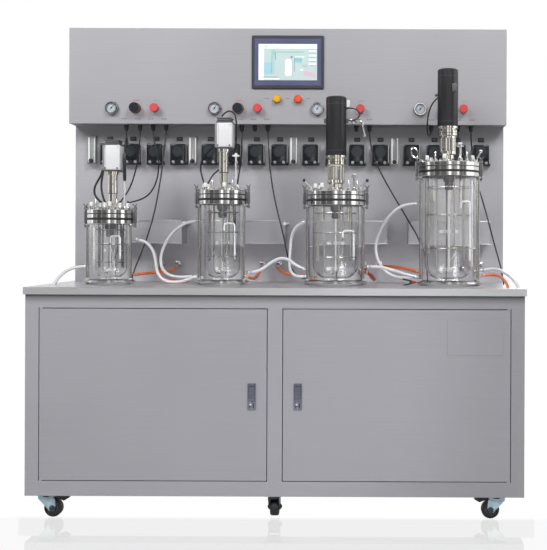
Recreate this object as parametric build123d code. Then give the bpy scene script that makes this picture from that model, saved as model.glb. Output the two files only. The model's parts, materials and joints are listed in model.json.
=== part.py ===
"""A bench bioreactor station: four jacketed glass stirred vessels on a castored steel cabinet,
with a control header, pumps, flowmeters, bottle shelves, hoses and sensor cables behind them.

Millimetres. +X is to the right, +Y to the back and +Z up. The origin is on the floor, under the
middle of the cabinet. Every piece is a solid in the node that carries its name.
"""

import os
from collections import namedtuple
from math import cos, pi, radians, sin, tan

from build123d import *

# ---------------------------------------------------------------- driving dimensions
SHEET = 2.0  # steel sheet of the cabinets

# base cabinet and worktop
HALF_LENGTH = 900.0
FRONT, BACK = -382.0, 390.0
CASTER_HEIGHT = 84.0
BENCH = 836.0  # height of the working surface
LIP = 26.0  # height of the worktop's folded edge
LIP_X, LIP_FRONT = 906.0, -390.0

# doors, hung on pins at their outer corners
DOOR_X = (29.5, 848.5)  # inner and outer edge, each side of the middle
DOOR_Z = (141.0, 759.0)
DOOR_THICK = 18.0
DOOR_GAP = 3.0
DOOR_SHEET = 1.5
JAMB_DEPTH = 27.0
PIN_INSET = 5.0  # the pin's axis from the door's edge and from its front face
PIN_R = 3.0
RUNNING = 0.05  # radial clearance of a running fit

# flush lock on each door
LOCK_X, LOCK_Z = 83.0, 444.0
LOCK_SIZE = (31.0, 97.0)
LOCK_PROUD = 3.0
CUP_DEPTH = 13.0
LEVER_SIZE = (21.0, 46.0)
LEVER_LOW = 436.0  # foot of the lever, above the key
KEY_Z = 421.0
LEVER_THICK = 5.0

# casters
CASTER_X = {"left": -829.0, "middle": -4.0, "right": 804.0}
CASTER_Y = {"front": -340.0, "rear": 340.0}
WHEEL_R, WHEEL_WIDTH = 32.5, 31.0
TRAIL = 22.0
FORK_GAP, FORK_PLATE = 35.0, 3.0
AXLE_R = 4.0
KINGPIN_R = 6.0

# upper cabinet: a low part behind the vessels and a header that stands forward of it
WALL_Y = 210.0  # panel behind the vessels
HEADER_Y = 118.0  # face of the header
HEADER_Z = 1487.0  # underside of the header
TOP = 1880.0
COVER_THICK = 1.5

# panel fittings repeat once for each vessel
PITCH = 422.5
STATIONS = range(4)
GAUGE_X, KNOB_X, VALVE_X, INSTRUMENT_Z = -723.0, -626.0, -546.0, 1550.0
GLAND_X = (-674.0, -617.0, -563.0, -509.0)
GLAND_Y, GLAND_DROP = 160.0, 26.0
PUMP_X = (-754.0, -657.0, -560.0, -462.0)
PUMP_SIZE = (75.0, 88.0)
PUMP_Z = 1367.0
PUMP_MOTOR_R = 18.0
FLOW_X, FLOW_Z = -826.0, (1325.0, 1443.0)
SHELF_X, SHELF_Z, SHELF_FRONT = (-770.0, -431.0), (995.0, 1089.0), 110.0
SHELF_SHEET = 1.5
COUPLING_X, COUPLING_Z = (-532.0, -466.0), 910.0
PEG_X, PEG_Z = -444.0, 1100.0

# touch screen and push buttons
SCREEN_SIZE, SCREEN_Z = (296.0, 219.0), 1741.0
DISPLAY_SIZE = (243.0, 150.0)
BUTTON_Z, BUTTON_TRAVEL = 1589.0, 5.0
BUTTON_X = {"start": -44.0, "stop": 42.0}

# vessels: centre, radius of the clamped rings, height of the glass under them and the drive above
Vessel = namedtuple("Vessel", "x ring_r glass_top motor_z motor_top column_r impeller_r")
VESSELS = (
    Vessel(-672.0, 88.0, 1074.0, 1286.0, 1383.0, (16.0, 19.0), 24.0),
    Vessel(-235.0, 93.0, 1149.0, 1386.0, 1470.0, (15.0, 18.5), 26.0),
    Vessel(207.0, 114.0, 1149.0, 1344.0, 1572.0, (27.0, 33.0), 34.0),
    Vessel(648.0, 118.0, 1260.0, 1458.0, 1681.0, (25.0, 30.5), 36.0),
)
VESSEL_Y = -90.0
RING_HEIGHTS = (0.0, 20.0, 38.0, 55.0)  # lower ring, vessel ring and lid, above the glass top
STAND_Z = (843.0, 850.0)  # base ring on its feet
GLASS_BOTTOM = 852.0
GLASS_INSET = 11.0  # outer glass inside the rings' radius
GLASS_WALL, JACKET = 4.0, 8.0
ROD_R, ROD_ANGLES = 4.0, (90.0, 195.0, 345.0)
SHAFT_R = 5.0
SHAFT_BOTTOM = 890.0

# jacket ports of each vessel: angle about its axis, height
JACKET_PORTS = (
    ((180.0, 903.0), (10.0, 1010.0), (36.0, 872.0)),
    ((160.0, 1084.0), (180.0, 864.0), (152.0, 866.0), (0.0, 882.0), (30.0, 866.0)),
    ((165.0, 1081.0), (177.0, 897.0), (158.0, 866.0), (0.0, 906.0), (26.0, 884.0), (140.0, 868.0)),
    ((165.0, 1155.0), (182.0, 868.0), (166.0, 866.0), (150.0, 884.0), (6.0, 894.0), (355.0, 874.0)),
)
PORT_R, PORT_REACH = 6.0, 20.0

# ports on each lid: offset from its centre, kind
LID_PORTS = (
    ((-36, -5, "probe"), (-14, -32, "probe"), (34, 10, "probe"), (64, 15, "probe"),
     (-70, -14, "cap"), (-47, -38, "tube"), (14, -62, "cap"), (38, -50, "tube"), (-30, 52, "cap"),
     (58, -14, "sleeve")),
    ((-57, 2, "probe"), (-75, 15, "probe"), (53, 30, "probe"), (23, 28, "probe"),
     (-60, -42, "cap"), (-30, -60, "tube"), (16, -64, "cap"), (54, -18, "tall_sampler"), (46, -50, "tube")),
    ((-80, -12, "cap"), (-52, -58, "cap"), (-10, -84, "tube"), (52, -58, "tube"), (84, -20, "tube"),
     (70, 44, "sampler"), (-64, 44, "probe"), (0, 82, "cap")),
    ((97, 30, "probe"), (-86, -8, "cap"), (-58, -62, "tube"), (-24, -84, "cap"), (36, -78, "sampler"),
     (64, -52, "tube"), (90, -18, "cap"), (-66, 56, "probe")),
)

# flexible lines: ("name", radius, points). Where a line leaves a gland it starts at the gland's end.
CABLES = (
    ("motor_1_outer", 4.0, ((-702, -90, 1286), (-709, -91, 1258), (-725, -93, 1232), (-736, -95, 1204),
                            (-731, -95, 1176), (-708, -95, 1153))),
    ("motor_1_inner", 4.0, ((-692, -113, 1286), (-698, -113, 1255), (-703, -114, 1221),
                            (-698, -118, 1186), (-686, -122, 1153))),
    ("probe_1_front", 3.0, ((-674, 160, 1461), (-673, 150, 1428), (-664, 120, 1403), (-650, 76, 1392),
                            (-636, 28, 1394), (-625, -15, 1403), (-618, -52, 1414), (-615, -84, 1407),
                            (-614, -102, 1379), (-614, -104, 1348))),
    ("probe_1_left", 3.0, ((-617, 160, 1461), (-616, 150, 1420), (-613, 122, 1378), (-610, 88, 1330),
                           (-609, 40, 1276), (-611, -10, 1228), (-620, -52, 1188), (-638, -80, 1153))),
    ("probe_1_right", 3.0, ((-563, 160, 1461), (-557, 154, 1414), (-541, 140, 1372), (-527, 108, 1319),
                            (-522, 64, 1262), (-532, 20, 1206), (-562, -30, 1166), (-608, -75, 1153))),
    ("heater_1", 3.0, ((-509, 160, 1461), (-511, 152, 1415), (-515, 142, 1360), (-518, 126, 1300),
                       (-523, 98, 1226), (-531, 74, 1150), (-543, 50, 1076), (-560, 24, 1004),
                       (-579, -2, 938), (-596, -20, 890), (-603, -28, 850))),
    ("motor_2", 3.0, ((-240, -90, 1490), (-228, -89, 1506), (-210, -87, 1514), (-193, -86, 1506),
                      (-185, -85, 1488), (-183, -83, 1458), (-184, -78, 1420), (-187, -66, 1376), (-200, -50, 1342),
                      (-224, -44, 1312), (-256, -52, 1286), (-283, -76, 1258), (-292, -88, 1228))),
    ("probe_2_left", 3.0, ((-252, 160, 1461), (-270, 150, 1428), (-300, 122, 1396), (-328, 80, 1362),
                           (-340, 30, 1326), (-334, -22, 1288), (-320, -62, 1256), (-310, -75, 1228))),
    ("probe_2_right", 3.0, ((-195, 160, 1461), (-193, 150, 1422), (-189, 122, 1382), (-186, 80, 1342),
                            (-184, 32, 1304), (-182, -18, 1268), (-182, -60, 1228))),
    ("heater_3", 3.0, ((-86, 160, 1461), (-83, 154, 1410), (-78, 142, 1350), (-70, 124, 1282),
                       (-58, 102, 1214), (-42, 78, 1146), (-23, 56, 1079), (-5, 37, 1012),
                       (9, 22, 948), (25, 12, 898), (48, 3, 866), (80, -3, 855), (113, -10, 853))),
    ("heater_4", 3.0, ((336, 160, 1461), (341, 154, 1414), (352, 144, 1366), (370, 126, 1316),
                       (396, 104, 1264), (428, 86, 1206), (464, 66, 1144), (500, 44, 1082),
                       (534, 24, 1024), (554, 10, 966), (566, 4, 908), (570, 5, 850))),
    ("motor_3", 2.5, ((247, -90, 1524), (262, -90, 1525.5), (278, -91, 1523), (293, -92, 1516),
                      (299, -93, 1501), (293, -92, 1486), (278, -91, 1479), (262, -90, 1477),
                      (247, -90, 1477))),
    ("motor_4", 3.0, ((608, -90, 1572), (590, -88, 1556), (575, -80, 1532), (567, -60, 1500),
                      (566, -20, 1470), (569, 28, 1448), (576, 78, 1438), (586, 122, 1444),
                      (593.5, 160, 1461))),
    ("probe_4", 3.0, ((758.5, 160, 1461), (758, 148, 1424), (757, 114, 1398), (753, 66, 1380),
                      (749, 16, 1366), (746, -30, 1354), (745, -60, 1339))),
    ("heater_end", 3.0, ((704.5, 160, 1461), (709, 154, 1418), (722, 140, 1370), (744, 116, 1318),
                         (770, 92, 1262), (790, 72, 1200), (808, 56, 1132), (825, 43, 1064),
                         (840, 24, 998), (856, 8, 936), (868, -8, 882), (874, -20, 828))),
)
HOSES = (
    ("white_1_in", 6.0, ((-769, -90, 903), (-800, -90, 902), (-832, -97, 892), (-856, -112, 872),
                         (-870, -132, 850), (-876, -146, 828))),
    ("white_1_to_2", 6.0, ((-576.5, -73.2, 1010), (-546, -68, 1005), (-522, -62, 984),
                           (-507, -58, 952), (-501, -58, 914), (-495, -64, 880), (-474, -74, 854),
                           (-438, -84, 843), (-398, -88, 845), (-366, -90, 856), (-337, -90, 864))),
    ("white_2_return", 6.0, ((-330.9, -55.1, 1084), (-362, -44, 1082), (-400, -22, 1072),
                             (-440, 4, 1046), (-474, 22, 1010), (-496, 28, 968), (-502, 22, 924),
                             (-488, 6, 886), (-456, -12, 866), (-412, -26, 860), (-366, -34, 864),
                             (-325.1, -42.1, 866))),
    ("white_2_to_3", 6.0, ((-133, -90, 882), (-106, -88, 884), (-76, -80, 898), (-46, -70, 922),
                           (-12, -62, 940), (22, -64, 934), (52, -74, 908), (84, -83.6, 897))),
    ("white_3_return", 6.0, ((88.2, -58.2, 1081), (62, -50, 1074), (40, -36, 1052), (28, -22, 1020),
                             (24, -15, 984), (22, -13, 946), (21.6, -13.6, 920), (21.5, -15, 898),
                             (27.2, -17.2, 883.4), (37.7, -21.4, 872.1), (51.4, -27, 866),
                             (73.5, -36.5, 864.5), (93, -43.9, 866))),
    ("white_4_return", 6.0, ((525.3, -57.1, 1155), (492, -46, 1154), (456, -26, 1142),
                             (420, -4, 1112), (390, 10, 1072), (370, 16, 1026), (362, 14, 980),
                             (370, 4, 934), (394, -12, 894), (430, -30, 868), (474, -48, 860),
                             (524.8, -59.3, 866))),
    ("white_3_to_4", 6.0, ((330, -90, 906), (366, -92, 908), (404, -98, 902), (442, -102, 890),
                           (482, -98, 876), (521.1, -94.4, 868))),
    ("white_4_out", 6.0, ((774.3, -76.7, 894), (802, -77, 899), (826, -96, 901), (844, -132, 897),
                          (857, -184, 886), (868, -230, 876), (877, -276, 862), (884, -316, 844),
                          (887, -338, 824))),
    ("orange_1", 6.0, ((-593.5, -33, 872), (-566, -12, 874), (-536, 18, 876), (-506, 58, 878),
                       (-482, 104, 880), (-468, 146, 888), (-466, 172, 902))),
    ("orange_2", 6.0, ((-532, 172, 902), (-532, 146, 884), (-524, 112, 864), (-500, 76, 848),
                       (-462, 52, 843), (-420, 36, 845), (-386, 30, 846))),
    ("orange_3", 6.0, ((-109.5, 172, 902), (-112, 146, 886), (-116, 104, 870), (-122, 60, 858),
                       (-128, 16, 854), (-138, -18, 860), (-146.7, -39, 866))),
    ("orange_4", 6.0, ((-43.5, 172, 902), (-38, 146, 888), (-16, 112, 876), (22, 76, 868),
                       (64, 38, 864), (96, 10, 866), (112.8, -10.9, 868))),
    ("orange_5", 6.0, ((317.5, -36.1, 884), (340, -22, 878), (355, 6, 862), (360, 44, 850),
                       (352, 88, 852), (336, 132, 872), (313, 172, 902))),
    ("orange_6", 6.0, ((379, 172, 902), (396, 146, 904), (428, 106, 904), (466, 60, 900),
                       (504, 12, 892), (538, -26.5, 884))),
    ("orange_7", 6.0, ((774.5, -101.1, 874), (800, -104, 877.5), (820, -118, 878.5), (832, -142, 877),
                       (839, -172, 873), (844, -208, 867), (848, -244, 859), (851, -280, 845),
                       (853, -312, 824))),
)
HOSE_HOLES = ((-874, -141.5, 10), (885.4, -326, 11), (852, -295.5, 13), (873.1, -18.2, 4.5))


# ---------------------------------------------------------------- small helpers
def block(x, y, z):
    """A box between two places on each axis, each given as (low, high)."""
    low, high = (Vector(*corner) for corner in zip(x, y, z))
    size = high - low
    return Pos(*(low + size / 2)) * Box(size.X, size.Y, size.Z)


def centred(x, width):
    """The (low, high) pair of a width about a middle."""
    return x - width / 2, x + width / 2


def post(x, y, z, radius):
    """A vertical cylinder between two heights."""
    return Pos(x, y, sum(z) / 2) * Cylinder(radius, z[1] - z[0])


def bar_x(x, y, z, radius):
    return Pos(sum(x) / 2, y, z) * Rot(0, 90, 0) * Cylinder(radius, x[1] - x[0])


def bar_y(x, y, z, radius):
    return Pos(x, sum(y) / 2, z) * Rot(90, 0, 0) * Cylinder(radius, y[1] - y[0])


def turned(*outline):
    """A solid turned about Z from its half section, given as (radius, height) points."""
    return revolve(Plane.XZ * make_face(Polyline(*outline, close=True)), Axis.Z)


def facing_front(x, y, z):
    """Where a piece turned about Z goes so that its top points out of the panel."""
    return Pos(x, y, z) * Rot(90, 0, 0)


def ring(x, y, z, outer_r, inner_r):
    return post(x, y, z, outer_r) - post(x, y, z, inner_r)


def around(angle, radius):
    """Offset from a vertical axis, at an angle from +X."""
    return radius * cos(radians(angle)), radius * sin(radians(angle))


def one(shape):
    """The single solid that a row of cuts and joins leaves."""
    return shape.solids()[0] if len(shape.solids()) == 1 else Compound(shape.solids())


def group(pieces):
    """Separate solids of one kind, kept together in one node."""
    return Compound([solid for piece in pieces for solid in piece.solids()])


def hose(name, radius, points):
    """A round line through its points: straight runs joined by arcs as large as the runs allow."""
    places = [Vector(*p) for p in points]
    runs = [b - a for a, b in zip(places, places[1:])]
    bends = []
    for before, after in zip(runs, runs[1:]):
        half_turn = radians(before.get_angle(after)) / 2
        bends.append(0.45 * min(before.length, after.length) / tan(half_turn))
    path = FilletPolyline(*places, radius=bends)
    section = Plane(places[0], z_dir=runs[0]) * Circle(radius)
    tube = sweep(section, path=path)
    share = tube.volume / (pi * radius**2 * path.length)
    print(f"{name}: {path.length:.0f} mm, tightest bend {min(bends):.0f} mm, volume share {share:.4f}")
    return tube


# ---------------------------------------------------------------- base cabinet
CABINET_TOP = BENCH - SHEET


def cabinet_body():
    """Welded sheet body: open at the doorways and under the worktop, with folded door jambs."""
    x, y, z = (-HALF_LENGTH, HALF_LENGTH), (FRONT, BACK), (CASTER_HEIGHT, CABINET_TOP)
    body = block(x, y, z) - block((x[0] + SHEET, x[1] - SHEET), (y[0] + SHEET, y[1] - SHEET),
                                  (z[0] + SHEET, z[1]))
    flange = 40.0
    body += block(x, y, (z[1] - SHEET, z[1])) - block((x[0] + flange, x[1] - flange),
                                                      (y[0] + flange, y[1] - flange), z)
    for side in (-1, 1):
        way_x = sorted(side * edge for edge in (DOOR_X[0] - DOOR_GAP, DOOR_X[1] + DOOR_GAP))
        way_z = (DOOR_Z[0] - DOOR_GAP, DOOR_Z[1] + DOOR_GAP)
        depth = (FRONT, FRONT + JAMB_DEPTH)
        body += block((way_x[0] - SHEET, way_x[1] + SHEET), depth, (way_z[0] - SHEET, way_z[1] + SHEET))
        body -= block(way_x, (FRONT - 1, FRONT + JAMB_DEPTH + 1), way_z)
        body -= post(*pin_place(side), (DOOR_Z[0] - 12, DOOR_Z[1] + 12), PIN_R)
    for x, y, radius in HOSE_HOLES:
        body -= post(x, y, (z[1] - SHEET - 1, z[1] + 1), radius + 2)
    return one(body)


def pin_place(side):
    """Where a door's hinge axis stands: side is -1 for the left door and 1 for the right one."""
    return side * (DOOR_X[1] - PIN_INSET), FRONT + PIN_INSET


def worktop():
    """Folded sheet tray over the base cabinet, holed for the lines that go down through it."""
    top = block((-LIP_X, LIP_X), (LIP_FRONT, BACK), (BENCH - LIP, BENCH))
    top -= block((SHEET - LIP_X, LIP_X - SHEET), (LIP_FRONT + SHEET, BACK + 1),
                 (BENCH - LIP - 1, BENCH - SHEET))
    for x, y, radius in HOSE_HOLES:
        top -= post(x, y, (BENCH - SHEET - 1, BENCH + 1), radius)
    return one(top)


def door(side):
    """Pan of folded sheet with a corner block for each hinge pin and a cut-out for the lock."""
    x = sorted(side * edge for edge in DOOR_X)
    y = (FRONT, FRONT + DOOR_THICK)
    pan = block(x, y, DOOR_Z) - block((x[0] + DOOR_SHEET, x[1] - DOOR_SHEET), (y[0] + DOOR_SHEET, y[1] + 1),
                                      (DOOR_Z[0] + DOOR_SHEET, DOOR_Z[1] - DOOR_SHEET))
    pin_x, pin_y = pin_place(side)
    for low in (DOOR_Z[0], DOOR_Z[1] - 22):
        pan += block(sorted((side * DOOR_X[1], side * (DOOR_X[1] - 16))), y, (low, low + 22))
    pan -= post(pin_x, pin_y, (DOOR_Z[0] - 1, DOOR_Z[1] + 1), PIN_R + RUNNING)
    pan -= block(centred(side * LOCK_X, LOCK_SIZE[0] - 4), (y[0] - 1, y[0] + DOOR_SHEET + 1),
                 centred(LOCK_Z, LOCK_SIZE[1] - 8))
    return one(pan)


def door_hinge_pins():
    """Four pins pressed into the jambs, each with a collar that keeps the door off the jamb."""
    pins = []
    for side in (-1, 1):
        place = pin_place(side)
        for outer, inner, face in ((DOOR_Z[0] - 10, DOOR_Z[0] + 18, DOOR_Z[0] - DOOR_GAP),
                                   (DOOR_Z[1] + 10, DOOR_Z[1] - 18, DOOR_Z[1] + DOOR_GAP)):
            inward = 1 if inner > outer else -1
            pin = post(*place, sorted((outer, inner)), PIN_R)
            pins.append(pin + post(*place, sorted((face, face + inward * 2.6)), 2 * PIN_R))
    return group(pins)


def lock_plate(side):
    """Cast flush-lock plate with the cup behind it that the lever folds into."""
    x, front = side * LOCK_X, FRONT - LOCK_PROUD
    plate = block(centred(x, LOCK_SIZE[0]), (front, FRONT), centred(LOCK_Z, LOCK_SIZE[1]))
    plate = fillet(plate.edges().filter_by(Axis.Y), 4)
    plate += block(centred(x, LOCK_SIZE[0] - 5), (FRONT, FRONT + CUP_DEPTH), centred(LOCK_Z, LOCK_SIZE[1] - 9))
    pocket_z = (LEVER_LOW - 1, LEVER_LOW + LEVER_SIZE[1] + 2.5)
    plate -= block(centred(x, LEVER_SIZE[0] + 1), (front - 1, FRONT + CUP_DEPTH - 2), pocket_z)
    plate -= bar_x(centred(x, LEVER_SIZE[0] + 3.4), lever_pivot()[0], lever_pivot()[1], 1.5 + RUNNING)
    keyhole = facing_front(x, front + 2, KEY_Z) * Cylinder(7, 8)
    return one(plate - keyhole + facing_front(x, front + 2.5, KEY_Z) * Cylinder(6.4, 7))


def lever_pivot():
    """Depth and height of the lever's hinge, near its upper end."""
    return FRONT + 1.5, LEVER_LOW + LEVER_SIZE[1] - 4.5


def lock_lever(side):
    """Lever that lies in the plate and swings its lower end out, on two short trunnions."""
    x = side * LOCK_X
    z = (LEVER_LOW, LEVER_LOW + LEVER_SIZE[1])
    lever = block(centred(x, LEVER_SIZE[0]), (FRONT - LOCK_PROUD, FRONT - LOCK_PROUD + LEVER_THICK), z)
    lever += bar_x(centred(x, LEVER_SIZE[0]), *lever_pivot(), 4.0)
    lever = lever - block(centred(x, 40), (FRONT - 20, FRONT - LOCK_PROUD), z)
    return one(lever + bar_x(centred(x, LEVER_SIZE[0] + 3), *lever_pivot(), 1.5))


def circulation_units():
    """Four closed heater tanks with their pumps, which feed the vessels' jackets."""
    units = []
    for n in STATIONS:
        x = -630 + 420 * n
        shell = block(centred(x, 250), (190, 380), (CASTER_HEIGHT + SHEET, 330))
        shell -= block(centred(x, 247), (191.5, 378.5), (CASTER_HEIGHT + SHEET + 1.5, 328.5))
        units += [shell, post(x - 60, 290, (330, 420), 38), post(x + 62, 290, (330, 352), 22)]
    return group(units)


# ---------------------------------------------------------------- casters
RACE_Z = CASTER_HEIGHT - 6.0
BRIDGE_Z = (70.7, RACE_Z - 0.3)


def caster_sites():
    """Each caster's name, the place of its swivel and the direction that its wheel trails."""
    for row, y in CASTER_Y.items():
        for column, x in CASTER_X.items():
            trail = {"left": (1, 0), "middle": (0, 1 if y < 0 else -1), "right": (-1, 0)}[column]
            yield f"{row}_{column}", x, y, trail


def caster_plates():
    """Bolted top plates, each with its ball race and riveted kingpin."""
    plates = []
    for _, x, y, _ in caster_sites():
        plate = block(centred(x, 64), centred(y, 64), (CASTER_HEIGHT - 3, CASTER_HEIGHT))
        for dx in (-24, 24):
            for dy in (-24, 24):
                plate -= post(x + dx, y + dy, (CASTER_HEIGHT - 4, CASTER_HEIGHT + 1), 3.3)
        plate += post(x, y, (RACE_Z, CASTER_HEIGHT - 3), 21)
        plate += post(x, y, (BRIDGE_Z[0] - 2.3, RACE_Z), KINGPIN_R)
        plates.append(plate + post(x, y, (BRIDGE_Z[0] - 2.3, BRIDGE_Z[0] - 0.3), 9))
    return group(plates)


def on_caster(x, y, trail, shape):
    """A shape drawn with its wheel trailing along +X, set at its swivel."""
    angle = {(1, 0): 0, (0, 1): 90, (-1, 0): 180, (0, -1): 270}[trail]
    return Pos(x, y, 0) * Rot(0, 0, angle) * shape


def caster_fork():
    """Pressed fork: a bridge under the race and two legs to the axle bolt, which is its own solid."""
    leg = make_face(Polyline((-31, BRIDGE_Z[1]), (28, BRIDGE_Z[1]), (32, 62), (33, 36), (26, 23), (13, 23),
                             (1, 36), (-29, 68), close=True))
    leg = fillet(leg.vertices(), 4)
    fork = post(0, 0, BRIDGE_Z, 20) & block((-17, 20), (-18, 18), BRIDGE_Z)
    fork += block((-26, 20), centred(0, FORK_GAP + 2), BRIDGE_Z)
    for side in (-1, 1):
        plate = extrude(Plane.XZ * leg, amount=FORK_PLATE)
        fork += Pos(0, side * (FORK_GAP + FORK_PLATE) / 2 + FORK_PLATE / 2, 0) * plate
    fork -= post(0, 0, (60, 80), KINGPIN_R + RUNNING)
    fork -= bar_y(TRAIL, (-30, 30), WHEEL_R, AXLE_R)
    fork -= bar_y(PEDAL_X, (-30, 30), PEDAL_Z, 2.0 + RUNNING)
    half = FORK_GAP / 2 + FORK_PLATE
    bolt = bar_y(TRAIL, (-half, half), WHEEL_R, AXLE_R)
    for low in (-half - 4, half):
        bolt += bar_y(TRAIL, (low, low + 4), WHEEL_R, 6.5)
    return group([fork, bolt])


def caster_wheel():
    """Moulded wheel with a rounded tread and a recessed hub."""
    half = WHEEL_WIDTH / 2
    wheel = turned((AXLE_R + RUNNING, -half), (11, -half), (13, 3 - half), (24, 3 - half), (26, -half),
                   (29, -half), (WHEEL_R, 5 - half), (WHEEL_R, half - 5), (29, half), (26, half),
                   (24, half - 3), (13, half - 3), (11, half), (AXLE_R + RUNNING, half))
    return Pos(TRAIL, 0, WHEEL_R) * Rot(90, 0, 0) * wheel


PEDAL_X, PEDAL_Z = 27.0, 71.0
PEDAL_TIP = 80.0


def brake_pedal():
    """Foot pedal between the fork's legs: pressed down, it turns on its pin and grips the wheel."""
    side = make_face(Polyline((22.5, 69), (24, 75), (40, 76), (PEDAL_TIP, 73), (PEDAL_TIP, 69.5), (62, 59),
                              (46, 65), (36, 67.5), close=True))
    pedal = Pos(0, 13, 0) * extrude(Plane.XZ * side, amount=26)
    return one(pedal + bar_y(PEDAL_X, centred(0, FORK_GAP + 4), PEDAL_Z, 2.0))


# ---------------------------------------------------------------- upper cabinet
def upper_cabinet():
    """Folded and welded sheet body, open at the back, with a hole for each fitting it carries."""
    back = BACK - COVER_THICK
    outer = ((WALL_Y, BENCH), (WALL_Y, HEADER_Z), (HEADER_Y, HEADER_Z), (HEADER_Y, TOP), (back, TOP),
             (back, BENCH))
    inner = ((WALL_Y + SHEET, BENCH + SHEET), (WALL_Y + SHEET, HEADER_Z + SHEET),
             (HEADER_Y + SHEET, HEADER_Z + SHEET), (HEADER_Y + SHEET, TOP - SHEET),
             (back + 9, TOP - SHEET), (back + 9, BENCH + SHEET))
    body = prism(outer, HALF_LENGTH) - prism(inner, HALF_LENGTH - SHEET)
    rim = 18.0
    x, z = (-HALF_LENGTH, HALF_LENGTH), (BENCH, TOP)
    frame = block(x, (back - SHEET, back), z)
    frame -= block((x[0] + rim, x[1] - rim), (0, BACK), (z[0] + rim, HEADER_Z - rim))
    frame -= block((x[0] + rim, x[1] - rim), (0, BACK), (HEADER_Z + rim, z[1] - rim))
    body += frame + block(centred(0, 2 * rim), (back - SHEET, back), (BENCH, HEADER_Z))
    for shape in panel_cuts():
        body -= shape
    return one(body)


def prism(outline, half_length):
    """A (y, z) outline drawn out along X."""
    face = Plane.YZ * make_face(Polyline(*outline, close=True))
    return Pos(-half_length, 0, 0) * extrude(face, amount=2 * half_length)


def panel_cuts():
    """The holes in the two front panels and in the header's underside."""
    through_header, through_wall = (HEADER_Y - 1, HEADER_Y + 5), (WALL_Y - 1, WALL_Y + 5)
    cuts = [block(centred(0, SCREEN_SIZE[0] - 30), through_header, centred(SCREEN_Z, SCREEN_SIZE[1] - 30))]
    cuts += [bar_y(x, through_header, BUTTON_Z, 13.0) for x in BUTTON_X.values()]
    for n in STATIONS:
        shift = n * PITCH
        cuts.append(bar_y(GAUGE_X + shift, through_header, INSTRUMENT_Z, 7.0))
        cuts.append(bar_y(KNOB_X + shift, through_header, INSTRUMENT_Z, 9.0))
        cuts.append(bar_y(VALVE_X + shift, through_header, INSTRUMENT_Z, 7.0))
        cuts += [bar_y(x + shift, through_wall, PUMP_Z, PUMP_MOTOR_R) for x in PUMP_X]
        cuts += [bar_y(x + shift, through_wall, COUPLING_Z, 6.0) for x in COUPLING_X]
        cuts += [post(x + shift, GLAND_Y, (HEADER_Z - 1, HEADER_Z + 5), 6.0) for x in GLAND_X]
    return cuts


def rear_covers():
    """Three flat covers screwed over the open back: two below the header and one behind it."""
    y, edge = (BACK - COVER_THICK, BACK), 1.0
    lower = (BENCH + edge, HEADER_Z - edge)
    return group([
        block((-HALF_LENGTH + edge, -edge), y, lower),
        block((edge, HALF_LENGTH - edge), y, lower),
        block((-HALF_LENGTH + edge, HALF_LENGTH - edge), y, (HEADER_Z + edge, TOP - edge)),
    ])


def touch_screen():
    """Operator panel: a bevelled bezel on the header, and the display's glass set into it."""
    bezel = block(centred(0, SCREEN_SIZE[0]), (HEADER_Y - 9, HEADER_Y), centred(SCREEN_Z, SCREEN_SIZE[1]))
    bezel = fillet(bezel.edges().filter_by(Axis.Y), 5)
    bezel = chamfer(bezel.faces().sort_by(Axis.Y)[0].edges(), 3)
    bezel += block(centred(0, SCREEN_SIZE[0] - 31), (HEADER_Y, HEADER_Y + 40),
                   centred(SCREEN_Z, SCREEN_SIZE[1] - 31))
    pocket = block(centred(0, DISPLAY_SIZE[0]), (HEADER_Y - 10, HEADER_Y - 6), centred(SCREEN_Z, DISPLAY_SIZE[1]))
    glass = block(centred(0, DISPLAY_SIZE[0]), (HEADER_Y - 8, HEADER_Y - 6), centred(SCREEN_Z, DISPLAY_SIZE[1]))
    return group([bezel - pocket, glass])


STEM_R = {"regulator": 5.0, "valve": 4.0, "flow": 2.5}


def panel_instruments():
    """Pressure gauges, regulator and valve bodies and the push buttons' rings, all on the header."""
    pieces = []
    for n in STATIONS:
        shift = n * PITCH
        gauge = turned((0, -30), (7, -30), (7, 0), (24, 0), (26, 2), (26, 15), (23, 18), (0, 18))
        pieces.append(facing_front(GAUGE_X + shift, HEADER_Y, INSTRUMENT_Z) * gauge)
        regulator = turned((0, -45), (9, -45), (9, 0), (23, 0), (23, 5), (19, 8), (STEM_R["regulator"], 8),
                           (STEM_R["regulator"], 32), (0, 32))
        pieces.append(facing_front(KNOB_X + shift, HEADER_Y, INSTRUMENT_Z) * regulator)
        valve = turned((0, -35), (7, -35), (7, 0), (15, 0), (15, 7), (11, 10), (STEM_R["valve"], 10),
                       (STEM_R["valve"], 26), (0, 26))
        pieces.append(facing_front(VALVE_X + shift, HEADER_Y, INSTRUMENT_Z) * valve)
    for x in BUTTON_X.values():
        collar = turned((11 + RUNNING, -12), (13, -12), (13, 0), (18, 0), (18, 3), (16, 5), (11 + RUNNING, 5))
        pieces.append(facing_front(x, HEADER_Y, BUTTON_Z) * collar)
    return group(pieces)


def knob(radius, length, stem_r, gap):
    """Round knob with a blind bore; its back stands `gap` off the face that it turns over."""
    bore = stem_r + RUNNING
    depth = length - 5
    return turned((bore, gap), (radius - 2, gap), (radius, gap + 2), (radius, gap + length - 3),
                  (radius - 3, gap + length), (0, gap + length), (0, gap + depth), (bore, gap + depth))


def pressure_knob(n):
    return facing_front(KNOB_X + n * PITCH, HEADER_Y, INSTRUMENT_Z) * knob(20, 29, STEM_R["regulator"], 8.5)


def valve_knob(n):
    return facing_front(VALVE_X + n * PITCH, HEADER_Y, INSTRUMENT_Z) * knob(17, 21, STEM_R["valve"], 10.5)


def flow_knob(n):
    face = WALL_Y - FLOW_DEPTH
    return facing_front(FLOW_X + n * PITCH, face, FLOW_Z[0] + 13) * knob(9, 14, STEM_R["flow"], 1.5)


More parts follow.
